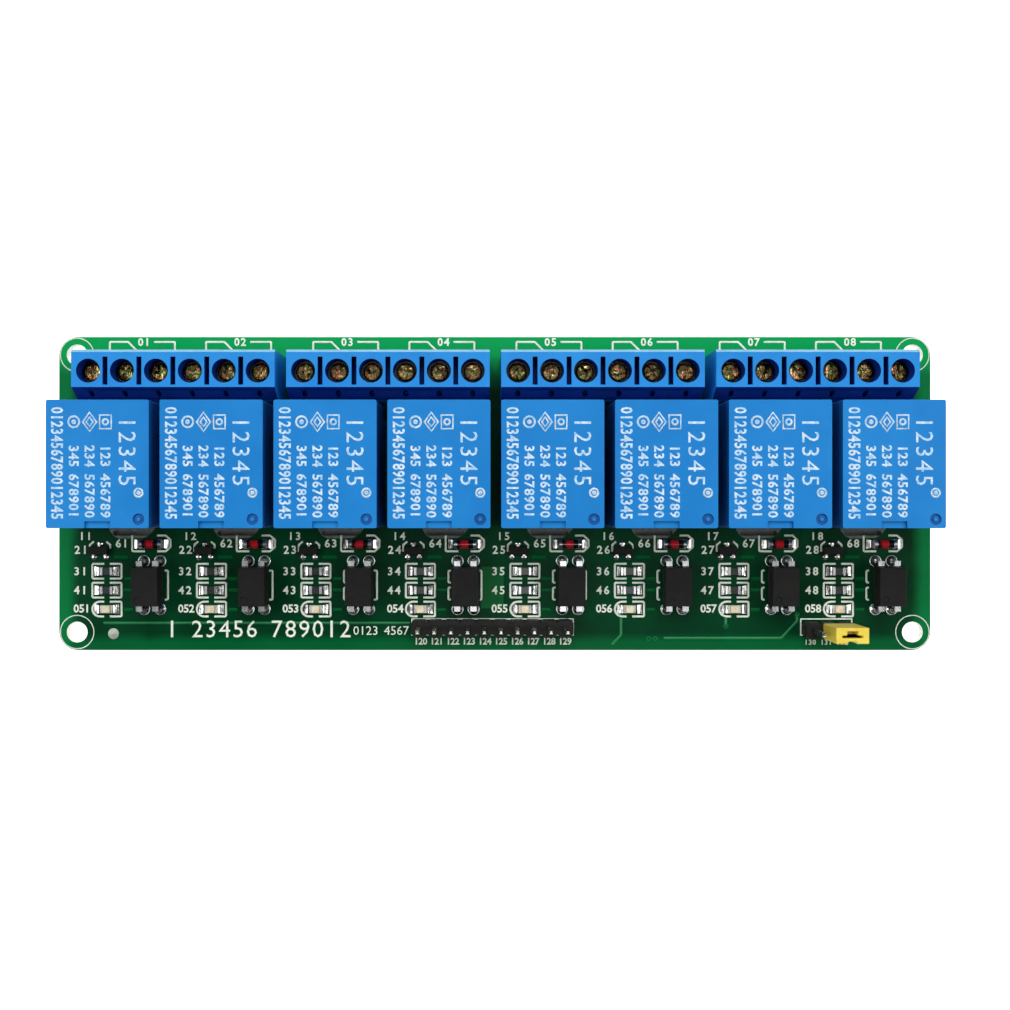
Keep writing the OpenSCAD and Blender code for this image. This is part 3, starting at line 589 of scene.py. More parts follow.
off_axis = calc(tree, "SQRT", calc(tree, "MULTIPLY_ADD", off_x, off_x,
                                   calc(tree, "MULTIPLY", off_y, off_y)))
# A dark ring at the rim of each head: painted shade from the well.
rim = add_node(tree, "ShaderNodeMapRange", {"interpolation_type": "SMOOTHSTEP"},
               Value=off_axis, From_Min=0.66 * head_radius, From_Max=0.92 * head_radius)
tree.links.new(blend_colour(tree, rim.outputs[0], zinc_colour, paint(*rim_painted_shade)),
               tree.nodes["Group"].inputs["Colour"])
print("screw head mm:", round(2 * head_radius / MM, 2), "pitch:", round(pole_pitch / MM, 2))

# %% [markdown]
# The coil is many turns of enamelled copper wire. A wave texture across the height gives one ridge
# for each turn. The diodes are red glass that turns dark where the metal slugs stand inside, and a
# black stripe marks one end. Their eight tubes share one node, so a modulo of X by the relays'
# pitch gives the place in each tube.

# %% Wire and glass
coil_wire, tree, bsdf = bare_material("coil_wire", Metallic=0.7, Roughness=0.35)
turns = add_node(tree, "ShaderNodeTexWave", {"bands_direction": "Z"}, Vector=object_place(tree),
                 Scale=1600.0, Distortion=0.6, Detail=1.0)
tree.links.new(blend_colour(tree, turns.outputs["Fac"], paint(120, 52, 24), paint(206, 112, 56)),
               bsdf.inputs["Base Color"])
ridges = add_node(tree, "ShaderNodeBump", Strength=0.6, Distance=0.1 * MM,
                  Height=turns.outputs["Fac"])
tree.links.new(ridges.outputs["Normal"], bsdf.inputs["Normal"])

diode_glass, tree, bsdf = bare_material("diode_glass", Roughness=0.16, Coat_Weight=0.8,
                                        Coat_Roughness=0.08)
tube_low, tube_high = solid_boxes("diode_tubes")[0]
tube_half = (tube_high.x - tube_low.x) / 2
stripe_x, stripe_half = 0.62 * tube_half, 0.28 * MM
where = object_place(tree)
across = add_node(tree, "ShaderNodeSeparateXYZ", Vector=where).outputs["X"]
in_tube = from_nearest(tree, across, diode_middles[0].x, relay_pitch)
cloud = add_node(tree, "ShaderNodeTexNoise", Vector=where, Scale=900.0, Detail=3.0)
off_middle = calc(tree, "ADD", calc(tree, "DIVIDE", calc(tree, "ABSOLUTE", in_tube), tube_half),
                  calc(tree, "MULTIPLY", calc(tree, "SUBTRACT", cloud.outputs["Fac"], 0.5), 0.7))
slug = add_node(tree, "ShaderNodeMapRange", {"interpolation_type": "SMOOTHSTEP"},
                Value=off_middle, From_Min=0.3, From_Max=0.8)
glass_colour = blend_colour(tree, slug.outputs[0], paint(196, 30, 40), paint(26, 8, 10))
from_stripe = calc(tree, "ABSOLUTE", calc(tree, "SUBTRACT", in_tube, stripe_x))
in_stripe = calc(tree, "LESS_THAN", from_stripe, stripe_half)
tree.links.new(blend_colour(tree, in_stripe, glass_colour, paint(14, 12, 14)),
               bsdf.inputs["Base Color"])
print("wire and glass made")

# %% [markdown]
# Now every node takes its finish. The record names a material slot for each node, so one table
# from slot to finish reaches them all, and a slot that was forgotten would be seen at once. Only
# the lights' metal ends are set apart: they are duller than the other tinned parts.

# %% Dress the nodes
FINISH = {
    "cover_plastic": relay_blue, "armature_steel": plated_iron, "base_plastic": base_blue,
    "bobbin_plastic": bobbin_cream, "coil_wire": coil_wire, "relay_iron": plated_iron,
    "spring_bronze": bronze_strip, "tinned_metal": tin_plate, "terminal_plastic": terminal_blue,
    "zinc_screw": yellow_zinc, "cage_steel": cage_zinc_painted_shade, "chip_black": chip_black,
    "resistor_glaze": resistor_glaze, "light_body": light_body, "light_lens": light_resin,
    "diode_glass": diode_glass, "header_plastic": header_black, "header_pin_metal": pin_plate,
    "jumper_plastic": jumper_yellow, "solder": solder_metal,
}
dressed = [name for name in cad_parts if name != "circuit_board"]
for name in dressed:
    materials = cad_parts[name].data.materials
    given = materials[0].name.split(".")[0] if materials else ""
    materials.clear()
    materials.append(soft_tin if name == "light_ends" else FINISH[given])
print("dressed nodes:", len(dressed))

# %% [markdown]
# Some mouldings get a different paint on some faces. The blocks' outer chamfer is painted paler, as a
# painted highlight, and their wells, slots and slopes are painted darker and duller, as painted shade.
# So are the covers' upright sides and vents: their deeper blue is painted shade.

# %% Finishes by face
vent_reach = 3 * MM

def block_finish(face, low, high):
    """0 for the flats, 1 for the outer chamfer's painted highlight, 2 for the painted shade on the
    slope and inside the wells and slots.
    """
    spot, way, rim = face.center, face.normal, 0.2 * MM
    within = low.x + rim < spot.x < high.x - rim and low.y + rim < spot.y < high.y - rim
    if way.y > 0.5 and way.z > 0.5:
        return 1
    sloped = way.y < -0.5 and way.z > 0.2
    return 2 if sloped or within and spot.z < high.z - 0.5 * MM else 0

for name in block_names:
    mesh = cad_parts[name].data
    low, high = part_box(name)
    mesh.materials.append(terminal_painted_highlight)
    mesh.materials.append(terminal_painted_shade)
    for face in mesh.polygons:
        face.material_index = block_finish(face, low, high)
# The covers' upright faces and their vent take the painted shade.
for name in relay_names:
    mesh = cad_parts[name].data
    low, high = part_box(name)
    mesh.materials.append(relay_side_painted_shade)
    for face in mesh.polygons:
        to_corner = math.hypot(high.x - face.center.x, face.center.y - low.y)
        in_vent = face.center.z < high.z - 0.1 * MM and to_corner < vent_reach
        levels = [mesh.vertices[v].co.z for v in face.vertices]
        upright = max(levels) - min(levels) > 0.05 * MM
        face.material_index = 1 if upright or in_vent else 0
print("blocks and covers with finishes by face:", len(block_names) + len(relay_names))

# %% [markdown]
# ## Lines: one node tree for printing and tracks
# Printed outlines and copper tracks are both thin bands that follow a path. The paths could be
# drawn as faces by hand, but a node tree does it from bare edges: it turns the edges to curves,
# rounds their corners and sweeps a flat rectangle along them. Its width, thickness and corner
# radius are inputs, so a fine outline and a broad track come from the same tree.

# %% Node tree: flat lines
def new_shape_tree(name, inputs):
    """A Geometry Nodes tree with named inputs, given as name: (socket type, default)."""
    tree = bpy.data.node_groups.new(name, "GeometryNodeTree")
    tree.interface.new_socket("Geometry", in_out="INPUT", socket_type="NodeSocketGeometry")
    for label, (kind, value) in inputs.items():
        socket = tree.interface.new_socket(label, in_out="INPUT", socket_type=kind)
        if value is not None:
            socket.default_value = value
    tree.interface.new_socket("Geometry", in_out="OUTPUT", socket_type="NodeSocketGeometry")
    return tree, tree.nodes.new("NodeGroupInput"), tree.nodes.new("NodeGroupOutput")

flat_line, ins, outs = new_shape_tree("flat_line", {
    "Width": ("NodeSocketFloat", 0.28 * MM), "Thickness": ("NodeSocketFloat", 0.02 * MM),
    "Corner": ("NodeSocketFloat", 0.0), "Material": ("NodeSocketMaterial", None)})
path = add_node(flat_line, "GeometryNodeMeshToCurve", Mesh=ins.outputs["Geometry"])
rounded = add_node(flat_line, "GeometryNodeFilletCurve", {"mode": "POLY"}, Curve=path.outputs[0],
                   Count=5, Radius=ins.outputs["Corner"])
rounded.inputs["Limit Radius"].default_value = True
level = add_node(flat_line, "GeometryNodeSetCurveNormal", {"mode": "Z_UP"},
                 Curve=rounded.outputs[0])
band = add_node(flat_line, "GeometryNodeCurvePrimitiveQuadrilateral", Width=ins.outputs["Width"],
                Height=ins.outputs["Thickness"])
swept = add_node(flat_line, "GeometryNodeCurveToMesh", Curve=level.outputs[0],
                 Profile_Curve=band.outputs[0])
swept.inputs["Fill Caps"].default_value = True
whole = add_node(flat_line, "GeometryNodeRealizeInstances", Geometry=swept.outputs[0])
coated = add_node(flat_line, "GeometryNodeSetMaterial", Geometry=whole.outputs[0],
                  Material=ins.outputs["Material"])
flat_line.links.new(coated.outputs[0], outs.inputs[0])

def plain_mesh(source):
    """The mesh that an object shows, as plain data. The object itself is removed."""
    shown = source.evaluated_get(bpy.context.evaluated_depsgraph_get())
    mesh = bpy.data.meshes.new_from_object(shown)
    bpy.data.objects.remove(source)
    return mesh

def run_tree(name, mesh, tree, **values):
    """Puts a mesh through a tree and keeps the result as a plain mesh object."""
    source = add_object(name + "_source", mesh)
    modifier = source.modifiers.new(tree.name, "NODES")
    modifier.node_group = tree
    identifiers = {i.name: i.identifier for i in tree.interface.items_tree if i.in_out == "INPUT"}
    for label, value in values.items():
        modifier[identifiers[label.replace("_", " ")]] = value
    result = plain_mesh(source)
    result.name = name
    return add_object(name, result)

def path_mesh(name, paths, height):
    """Edges through lists of (x, y) in mm. A path that ends where it starts is closed."""
    points, edges = [], []
    for path in paths:
        closed = path[0] == path[-1] and len(path) > 2
        corners = path[:-1] if closed else path
        first = len(points)
        points += [(x * MM, y * MM, height) for x, y in corners]
        edges += [(i, i + 1) for i in range(first, len(points) - 1)]
        if closed:
            edges.append((len(points) - 1, first))
    mesh = bpy.data.meshes.new(name)
    mesh.from_pydata(points, edges, [])
    return mesh

def draw_lines(name, paths, height, width, material, corner=0.0, thickness=0.02):
    return run_tree(name, path_mesh(name, paths, height), flat_line, Width=width * MM,
                    Thickness=thickness * MM, Corner=corner * MM, Material=material)

def arc(x, y, radius, start=0, end=360, steps=28):
    turns = [math.radians(start + (end - start) * i / steps) for i in range(steps + 1)]
    points = [(x + radius * math.cos(t), y + radius * math.sin(t)) for t in turns]
    if end - start == 360:
        points[-1] = points[0]
    return points

def box_path(left, right, low, high):
    return [(left, low), (right, low), (right, high), (left, high), (left, low)]

def moved(paths, x):
    return [[(px + x, py) for px, py in path] for path in paths]

def flat_patch(name, loops):
    """A flat mesh inside the first loop and outside the others, from (x, y) in mm."""
    curve = bpy.data.curves.new(name, "CURVE")
    curve.dimensions = "2D"
    curve.fill_mode = "BOTH"
    for loop in loops:
        spline = curve.splines.new("POLY")
        spline.points.add(len(loop) - 1)
        for point, (x, y) in zip(spline.points, loop):
            point.co = (x * MM, y * MM, 0, 1)
        spline.use_cyclic_u = True
    return add_object(name, plain_mesh(add_object(name, curve)))

print("tree", flat_line.name, "with", len(flat_line.nodes), "nodes")

# %% [markdown]
# ## Copies: one node tree for everything that repeats
# Whatever comes once per relay, per pin or per chip end is modelled once and placed by a second
# tree. It puts the piece on every point of a mesh, turned by an attribute of the point, then makes
# the copies real, because an exported file holds plain meshes only.

# %% Node tree: copies on points
copies, ins, outs = new_shape_tree("copies_on_points", {
    "Piece": ("NodeSocketObject", None), "Material": ("NodeSocketMaterial", None)})
model = add_node(copies, "GeometryNodeObjectInfo", Object=ins.outputs["Piece"])
turn = add_node(copies, "GeometryNodeInputNamedAttribute", {"data_type": "FLOAT"}, Name="turn")
spin = add_node(copies, "ShaderNodeCombineXYZ", Z=turn.outputs["Attribute"])
placed = add_node(copies, "GeometryNodeInstanceOnPoints", Points=ins.outputs["Geometry"],
                  Instance=model.outputs["Geometry"])
copies.links.new(spin.outputs[0], placed.inputs["Rotation"])
whole = add_node(copies, "GeometryNodeRealizeInstances", Geometry=placed.outputs[0])
coated = add_node(copies, "GeometryNodeSetMaterial", Geometry=whole.outputs[0],
                  Material=ins.outputs["Material"])
copies.links.new(coated.outputs[0], outs.inputs[0])

def repeat(name, model, places, material):
    """Copies of a model at places given as (x, y, z, turn in degrees), in metres."""
    points = bpy.data.meshes.new(name)
    points.from_pydata([place[:3] for place in places], [], [])
    turns = points.attributes.new("turn", "FLOAT", "POINT")
    turns.data.foreach_set("value", [math.radians(place[3]) for place in places])
    piece = run_tree(name, points, copies, Piece=model, Material=material)
    bpy.data.objects.remove(model)
    for extra in [a.name for a in piece.data.attributes if a.name == "turn"]:
        piece.data.attributes.remove(piece.data.attributes[extra])
    return piece

def shape(name, points, faces, smooth=False):
    """A model from corners in mm and faces, with its doubles merged and its faces outwards."""
    form = bmesh.new()
    corners = [form.verts.new(Vector(p) * MM) for p in points]
    for face in faces:
        form.faces.new([corners[i] for i in face])
    bmesh.ops.remove_doubles(form, verts=form.verts, dist=1e-7)
    bmesh.ops.recalc_face_normals(form, faces=form.faces)
    for face in form.faces:
        face.smooth = smooth
    mesh = bpy.data.meshes.new(name)
    form.to_mesh(mesh)
    form.free()
    return add_object(name, mesh)

def turned(name, profile, steps=24):
    """A turned model: a profile of (radius, height) in mm, spun about the vertical."""
    points, faces = [], []
    for i in range(steps):
        t = math.tau * i / steps
        points += [(r * math.cos(t), r * math.sin(t), z) for r, z in profile]
    n = len(profile)
    for i in range(steps):
        for j in range(n - 1):
            a, b = i * n + j, ((i + 1) % steps) * n + j
            ring = [a, b, b + 1, a + 1]
            if profile[j][0] == 0:
                ring = [a, b + 1, a + 1]
            elif profile[j + 1][0] == 0:
                ring = [a, b, a + 1]
            faces.append(ring)
    return shape(name, points, faces, smooth=True)

def finish(piece):
    """Attaches a piece to the board's body, so that it rides on the board."""
    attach(piece, "board")
    print(piece.name, "faces:", len(piece.data.polygons))

print("tree", copies.name, "with", len(copies.nodes), "nodes")

# %% [markdown]
# ## Numerals
# The board carries plain counting numbers. A text object could be placed for each of them, but
# there are more than a hundred. So each numeral is turned to a flat mesh once in a thin and once
# in a heavy cut, scaled to a height of one, and written wherever it is wanted.

# %% Numeral shapes
def numeral_shapes(weight):
    """Flat outlines of the ten numerals, one unit high: their corners and their faces."""
    shapes = {}
    for character in "0123456789":
        curve = bpy.data.curves.new("numeral", "FONT")
        curve.body = character
        curve.resolution_u = 2
        curve.offset = weight
        mesh = plain_mesh(add_object("numeral", curve))
        shapes[character] = ([v.co.xy.copy() for v in mesh.vertices],
                             [tuple(p.vertices) for p in mesh.polygons])
    low = min(c.y for c in shapes["0"][0])
    tall = max(c.y for c in shapes["0"][0]) - low
    sized = {}
    for character, (corners, faces) in shapes.items():
        left = min(c.x for c in corners)
        wide = max(c.x for c in corners) - left
        sized[character] = ([((c.x - left - wide / 2) / tall, (c.y - low) / tall - 0.5)
                             for c in corners], faces)
    return sized

NUMERALS = numeral_shapes(0.0)
HEAVY_NUMERALS = numeral_shapes(0.025)

def write(page, text, x, y, height, turn=0, step=0.88, numerals=HEAVY_NUMERALS, narrow=1.0):
    """Adds a number to a page, centred on (x, y) in mm. A space is a little narrower."""
    cosine, sine = math.cos(math.radians(turn)), math.sin(math.radians(turn))
    strides = [step * height * (0.85 if c == " " else 1.0) for c in text]
    along = -sum(strides) / 2
    for character, stride in zip(text, strides):
        if character != " ":
            corners, faces = numerals[character]
            first = len(page["points"])
            for u, v in corners:
                u, v = u * height * narrow + along + stride / 2, v * height
                page["points"].append((x + u * cosine - v * sine, y + u * sine + v * cosine))
            page["faces"] += [tuple(first + i for i in f) for f in faces]
        along += stride

def print_page(name, page, height, material):
    mesh = bpy.data.meshes.new(name)
    mesh.from_pydata([(x * MM, y * MM, height) for x, y in page["points"]], [], page["faces"])
    mesh.materials.append(material)
    return add_object(name, mesh)

print("numerals:", len(NUMERALS), "and heavy ones:", len(HEAVY_NUMERALS))

# %% [markdown]
# ## Printing inks
# Board ink is a thick cream white that goes on through a screen. The ink on the relays is thinner,
# and the blue of the cover shows through it in places, so its two tones lie further apart.

# %% Inks
board_ink = plastic("board_ink", (248, 252, 240), (224, 232, 214), 0.6, patch=1400.0, grain=9000.0,
                    speckle=0.5, bump=0.2, Specular_IOR_Level=0.25)
cover_ink = plastic("cover_ink", (226, 240, 250), (150, 200, 236), 0.5, patch=1500.0, grain=9000.0,
                    speckle=0.7, bump=0.1, Specular_IOR_Level=0.25)
isolation_ink = plastic("isolation_ink", (112, 122, 116), (86, 98, 92), 0.6, patch=1200.0,
                        grain=6000.0, speckle=0.5, bump=0.2, Specular_IOR_Level=0.25)
print("inks made")

# %% [markdown]
# ## Printing on the relays
# Each cover carries the same stamp, read from the terminal side: one tall number, three columns of
# small figures with a plain mark before each, and one long row of counting figures. The stamp is
# made once about its own middle, and the copy tree prints it on all eight covers.

# %% Stamp on the covers
stamp = {"points": [], "faces": []}
mark_y = 6.1
columns = {"123 456789": 1.2, "234 567890": -1.1, "345 678901": -3.4}
square_x, diamond_x, ring_x = columns.values()
write(stamp, "12345", 4.35, 1.8, 2.5, turn=-90, step=0.84, numerals=NUMERALS)
for figures, x in columns.items():
    write(stamp, figures, x, -2.55, 1.5, turn=-90, step=0.72)
write(stamp, "0123456789012345", -5.83, 0.1, 1.8, turn=-90, step=0.57, narrow=0.8)
figures_model = print_page("cover_figures_model", stamp, 0.0, cover_ink)
ink_level = 0.006 * MM
cover_places = [(m.x, m.y, relay_top + ink_level, 0) for m in relay_middles]
finish(repeat("cover_figures", figures_model, cover_places, cover_ink))

def diamond(x, y, wide, high):
    return [(x, y - high), (x + wide, y), (x, y + high), (x - wide, y), (x, y - high)]

marks = [box_path(square_x - 0.85, square_x + 0.85, mark_y - 1.0, mark_y + 1.0),
         arc(square_x, mark_y, 0.4), diamond(diamond_x, mark_y, 1.0, 1.4),
         diamond(diamond_x, mark_y, 0.5, 0.7), arc(ring_x, mark_y, 0.8), arc(ring_x, mark_y, 0.2),
         arc(6.0, -4.2, 0.6), arc(6.0, -4.2, 0.18)]
marks_model = draw_lines("cover_marks_model", marks, 0.0, 0.3, cover_ink, thickness=0.01)
finish(repeat("cover_marks", marks_model, cover_places, cover_ink))

# %% [markdown]
# ## Printing on the board
# Outlines show where each part is soldered, and every part has its number: a first figure for its
# kind and a second for its channel. The outlines of one channel are drawn once about the channel's
# middle and printed eight times. The numbers differ, so they are written one by one.

# %% Outlines of the driver parts
ink_on_board = board_top + 0.022 * MM

def chip_box(x, y, round_left=False):
    """A printed box round a chip, open in the middle of its long sides."""
    a, b, gap = 2.31, 1.17, 0.45
    left = [(x - gap, y + b), (x - a, y + b), (x - a, y - b), (x - gap, y - b)]
    if round_left:
        left = [(x - gap, y + b)] + arc(x - a + b, y, b, 90, 270, 12) + [(x - gap, y - b)]
    return [left, [(x + gap, y + b), (x + a, y + b), (x + a, y - b), (x + gap, y - b)]]

def from_channel(middle, channel=0):
    """A place in mm, measured along the row from the middle of its channel."""
    return ((middle.x - relay_middles[channel].x) / MM, middle.y / MM)

chip_rows = sorted(from_channel(m) for m in resistor_middles[:2])
light_at = from_channel(light_middles[0])
transistor_at = from_channel(transistor_middles[0])
diode_at = from_channel(diode_middles[0])
opto_at = from_channel(opto_middles[0])
outlines = chip_box(*chip_rows[0]) + chip_box(*chip_rows[1]) + chip_box(*light_at, True)
tx, ty = transistor_at
outlines += [[(tx - 1.6, ty - 0.2), (tx - 1.6, ty + 0.9), (tx - 1.0, ty + 1.4)],
             [(tx + 1.6, ty + 0.3), (tx + 1.6, ty + 0.9), (tx + 1.0, ty + 1.4)]]
dx, dy = diode_at
dy += 0.1
outlines += [[(dx - 3.1, dy + 1.25), (dx - 3.1, dy - 1.25), (dx - 1.1, dy - 1.25)],
             [(dx + 0.85, dy + 1.25), (dx + 2.2, dy + 1.25), (dx + 2.95, dy + 0.55),
              (dx + 2.95, dy - 0.55), (dx + 2.2, dy - 1.25), (dx + 0.85, dy - 1.25)]]
ox, oy = opto_at
outlines += [[(ox + 2.0, oy + 2.3), (ox + 2.5, oy + 2.3), (ox + 2.5, oy - 2.3), (ox + 2.0, oy - 2.3)],
             [(ox - 2.3, oy + 2.3), (ox - 2.7, oy + 2.3), (ox - 2.7, oy + 0.4), (ox - 2.3, oy + 0.4)],
             [(ox - 2.3, oy - 0.4), (ox - 2.7, oy - 0.4), (ox - 2.7, oy - 2.3), (ox - 2.3, oy - 2.3)]]
outline_model = draw_lines("channel_outlines_model", outlines, 0.0, 0.32, board_ink, corner=0.2)
channel_places = [(m.x, 0, ink_on_board, 0) for m in relay_middles]
finish(repeat("channel_outlines", outline_model, channel_places, board_ink))

# %% Numbers of the parts
labels = {"points": [], "faces": []}
first_figures = (("1", -6.9, -6.75, 1.3, 0.88), ("2", -7.6, ty + 0.1, 1.35, 0.88),
                 ("3", -7.7, chip_rows[1][1], 1.35, 0.88), ("4", -7.7, chip_rows[0][1], 1.35, 0.88),
                 ("05", -7.5, light_at[1] + 0.1, 1.35, 0.64), ("6", -1.15, dy, 1.35, 0.8))
for number, middle in enumerate(relay_middles, 1):
    for figure, x, y, height, step in first_figures:
        write(labels, f"{figure}{number}", middle.x / MM + x, y, height, step=step)
for place, pin in enumerate(input_pins):
    write(labels, str(120 + place), pin.x / MM + 0.1, -23.4, 1.1, step=0.62)
for place, pin in enumerate(jumper_pins):
    write(labels, str(130 + place), pin.x / MM, -23.55, 0.85, step=0.75)
write(labels, "1 23456 789012", -37.4, -21.45, 2.7, step=0.8, numerals=NUMERALS)
write(labels, "0123 4567", -18.0, -21.7, 1.4, step=0.72, numerals=NUMERALS)
print("corners of the board's numbers:", len(labels["points"]))

# %% Contact signs and numbers over the terminals
signs = []
for number in range(channels):
    group = channel_screws(number)
    x = sum(m.x for m in group) / len(group) / MM
    signs += moved([[(-5.05, 22.0), (-5.05, 24.0), (-2.15, 24.0), (-0.75, 22.6)],
                    [(1.95, 24.0), (5.25, 24.0), (5.25, 22.0)]], x)
    write(labels, f"0{number + 1}", x + 0.35, 24.0, 1.3, step=0.8)
finish(draw_lines("contact_signs", signs, ink_on_board, 0.3, board_ink, corner=0.15))
finish(print_page("board_numbers", labels, ink_on_board, board_ink))

# %% [markdown]
# Each header stands in a printed box, and a ring is printed round each mounting hole, where the
# head of a screw will sit.

# %% Boxes and rings
hole_x, hole_y = (half_length - hole_inset) / MM, (half_width - hole_inset) / MM
ring_radius = 2.65
pin_left, pin_right = input_pins[0].x / MM, input_pins[-1].x / MM
jumper_left, jumper_right = jumper_pins[0].x / MM, jumper_pins[-1].x / MM
header_y = input_pins[0].y / MM
frames = [box_path(pin_left - 1.3, pin_right + 1.4, header_y - 1.3, header_y + 1.25),
          box_path(jumper_left - 1.5, jumper_right + 1.5, header_y - 1.3, header_y + 1.25)]
rings = [arc(x * hole_x, y * hole_y, ring_radius, steps=48) for x in (-1, 1) for y in (-1, 1)]
finish(draw_lines("header_frames", frames, ink_on_board, 0.28, board_ink))
finish(draw_lines("hole_rings", rings, ink_on_board, 0.16, board_ink))

# %% [markdown]
# ## Tracks under the lacquer
# Copper under the lacquer shows as slightly raised, lighter green lines. They run from the chips
# to the optocouplers, along the lower edge to the headers, and end in vias: small plated holes.
# The tracks are swept by the same line tree as the printing, only broader.

# %% Tracks and vias
track_level = board_top + 0.006 * MM
short_tracks = [[(-0.8, chip_rows[1][1] - 1.2), (0.6, chip_rows[1][1] - 1.2)],
                [(-0.8, chip_rows[0][1]), (0.6, chip_rows[0][1])],
                [(-0.8, light_at[1] - 0.1), (0.6, light_at[1] - 0.1)],
                [(tx + 2.2, ty - 1.05), (tx + 4.4, ty - 1.05)]]
chip_tracks = []
for middle in relay_middles:
    chip_tracks += moved(short_tracks, middle.x / MM)
edge_tracks = [[(-62.0, -20.5), (-13.5, -20.5)],
               [(26.8, -22.9), (45.4, -22.9), (47.9, -20.2), (47.9, -19.2)],
               [(20.0, -19.4), (20.0, -22.4), (18.6, -23.9)],
               [(36.6, -19.6), (36.6, -20.9)]]
finish(draw_lines("chip_tracks", chip_tracks, track_level, 0.6, track_lacquer))
field_model = flat_patch("copper_field_model", [[(-2.2, -11.6), (1.4, -11.6), (1.4, -18.2),
                                                 (-2.2, -18.2)]])
finish(repeat("copper_field", field_model, [(0, 0, track_level, 0)], track_lacquer))
finish(draw_lines("edge_tracks", edge_tracks, track_level, 0.42, bright_lacquer, corner=0.6))
via = turned("via_model", [(0.17, 0.005), (0.2, 0.02), (0.36, 0.02), (0.42, 0.0)], 16)
via_places = [(x * MM, y * MM, board_top, 0) for x, y in
              ((24.4, -23.0), (25.4, -23.0), (36.6, -21.0), (20.0, -19.4), (47.9, -19.2))]
finish(repeat("vias", via, via_places, track_lacquer))

# %% [markdown]
# ## Isolation fields
# Under each relay's lower edge the board is cut through by a slot that keeps mains voltage away
# from the logic. Round it lies a grey printed field with cut corners. A flat curve with two loops
# fills itself only between them, so the slot stays open.

# %% Isolation fields
low_edge = slot_y / MM
field = [(-3.3, low_edge + 1.3), (-3.1, low_edge + 0.4), (-2.4, low_edge - 0.45),
         (-1.6, low_edge - 0.85), (2.3, low_edge - 0.75), (3.2, low_edge - 0.3),
         (4.0, low_edge + 0.6), (4.2, low_edge + 1.3)]
slot_loop = (arc(3.0, low_edge, 0.37, -90, 90, 8) + arc(-2.2, low_edge, 0.37, 90, 270, 8))[::-1]
patch = flat_patch("isolation_model", [field, slot_loop])
field_places = [(m.x, 0, board_top + 0.008 * MM, 0) for m in relay_middles]
finish(repeat("isolation_fields", patch, field_places, isolation_ink))

# %% [markdown]
# ## Tracks underneath
# The underside is lacquered too. Broad tracks lead the switched current from the terminals to the
# relays' contacts, and a narrow one joins the two coil leads' row to the driver parts.

# %% Tracks underneath
under_level = board_low.z - 0.006 * MM
lead_boxes = solid_boxes("relay_leads")
coil_track_end = -10.5
terminal_y = max(m.y for m in middles("terminal_contacts")) / MM - 2.0
under_tracks, coil_tracks = [], []
for number, middle in enumerate(relay_middles):
    leads = [(low + high) / 2 for low, high in lead_boxes
             if abs((low.x + high.x) / 2 - middle.x) < relay_pitch / 2]
    far = sorted((m for m in leads if m.y > middle.y), key=lambda m: m.x)
    common = min(leads, key=lambda m: abs(m.x - middle.x))
    coil = [m for m in leads if m.y < middle.y and m is not common]
    group = channel_screws(number)
    for screw, lead in ((group[0], far[0]), (group[1], common), (group[2], far[-1])):
        under_tracks.append([(screw.x / MM, terminal_y), (screw.x / MM, terminal_y - 1.5),
                             (lead.x / MM, terminal_y - 2.5), (lead.x / MM, lead.y / MM)])
    for lead in coil:
        coil_tracks.append([(lead.x / MM, lead.y / MM), (lead.x / MM, coil_track_end)])
finish(draw_lines("under_tracks", under_tracks, under_level, 2.2, track_lacquer, corner=0.6))
finish(draw_lines("coil_tracks", coil_tracks, under_level, 0.6, track_lacquer))

# %% [markdown]
# ## Solder on the chips
# A chip stands on two bare pads, and solder climbs up its metal ends in a hollow curve. One such
# fillet is modelled from a few strips that follow a quarter of a circle, and the copy tree sets it
# against both ends of every chip and light.

# %% Fillets at chip ends
def fillet_model(name, reach, rise, width, flare, steps=4):
    """A hollow fillet: from its foot at x = reach up to x = 0, open to the part it climbs."""
    points, faces = [], []
    for i in range(steps + 1):
        t = math.radians(90 * i / steps)
        x, z = reach * (1 - math.sin(t)), rise * (1 - math.cos(t)) + 0.03
        half = width / 2 + flare * x / reach
        points += [(x, -half, z), (x, half, z), (x, -half, 0), (x, half, 0)]
    for i in range(steps):
        a, b = 4 * i, 4 * i + 4
        faces += [(a, b, b + 1, a + 1), (a, a + 2, b + 2, b), (a + 1, b + 1, b + 3, a + 3),
                  (a + 2, a + 3, b + 3, b + 2)]
    last = 4 * steps
    faces += [(0, 1, 3, 2), (last, last + 2, last + 3, last + 1)]
    return shape(name, points, faces)

def nearest_x(middles_of_parts, low, high):
    """The middle, in x, of the part that a metal end belongs to."""
    return min((m.x for m in middles_of_parts), key=lambda x: abs(x - (low.x + high.x) / 2))

def end_places(node, middles_of_parts):
    """Places against the outer sides of metal ends, facing away from the part's middle."""
    places = []
    for low, high in solid_boxes(node):
        y = (low.y + high.y) / 2
        at_left = (low.x + high.x) / 2 < nearest_x(middles_of_parts, low, high)
        places.append((low.x, y, board_top, 180) if at_left else (high.x, y, board_top, 0))
    return places

chip_fillet = fillet_model("chip_fillet_model", 0.95, 0.4, 1.2, 0.15)
chip_places = (end_places("resistor_ends", resistor_middles) +
               end_places("light_ends", light_middles))
finish(repeat("chip_solder", chip_fillet, chip_places, solder_metal))

# %% [markdown]
# The transistor's three feet and the diode's two caps stand in solder too. Those blobs are low
# domes: a profile that rises from a thin rim to a rounded crown is spun about its axis.

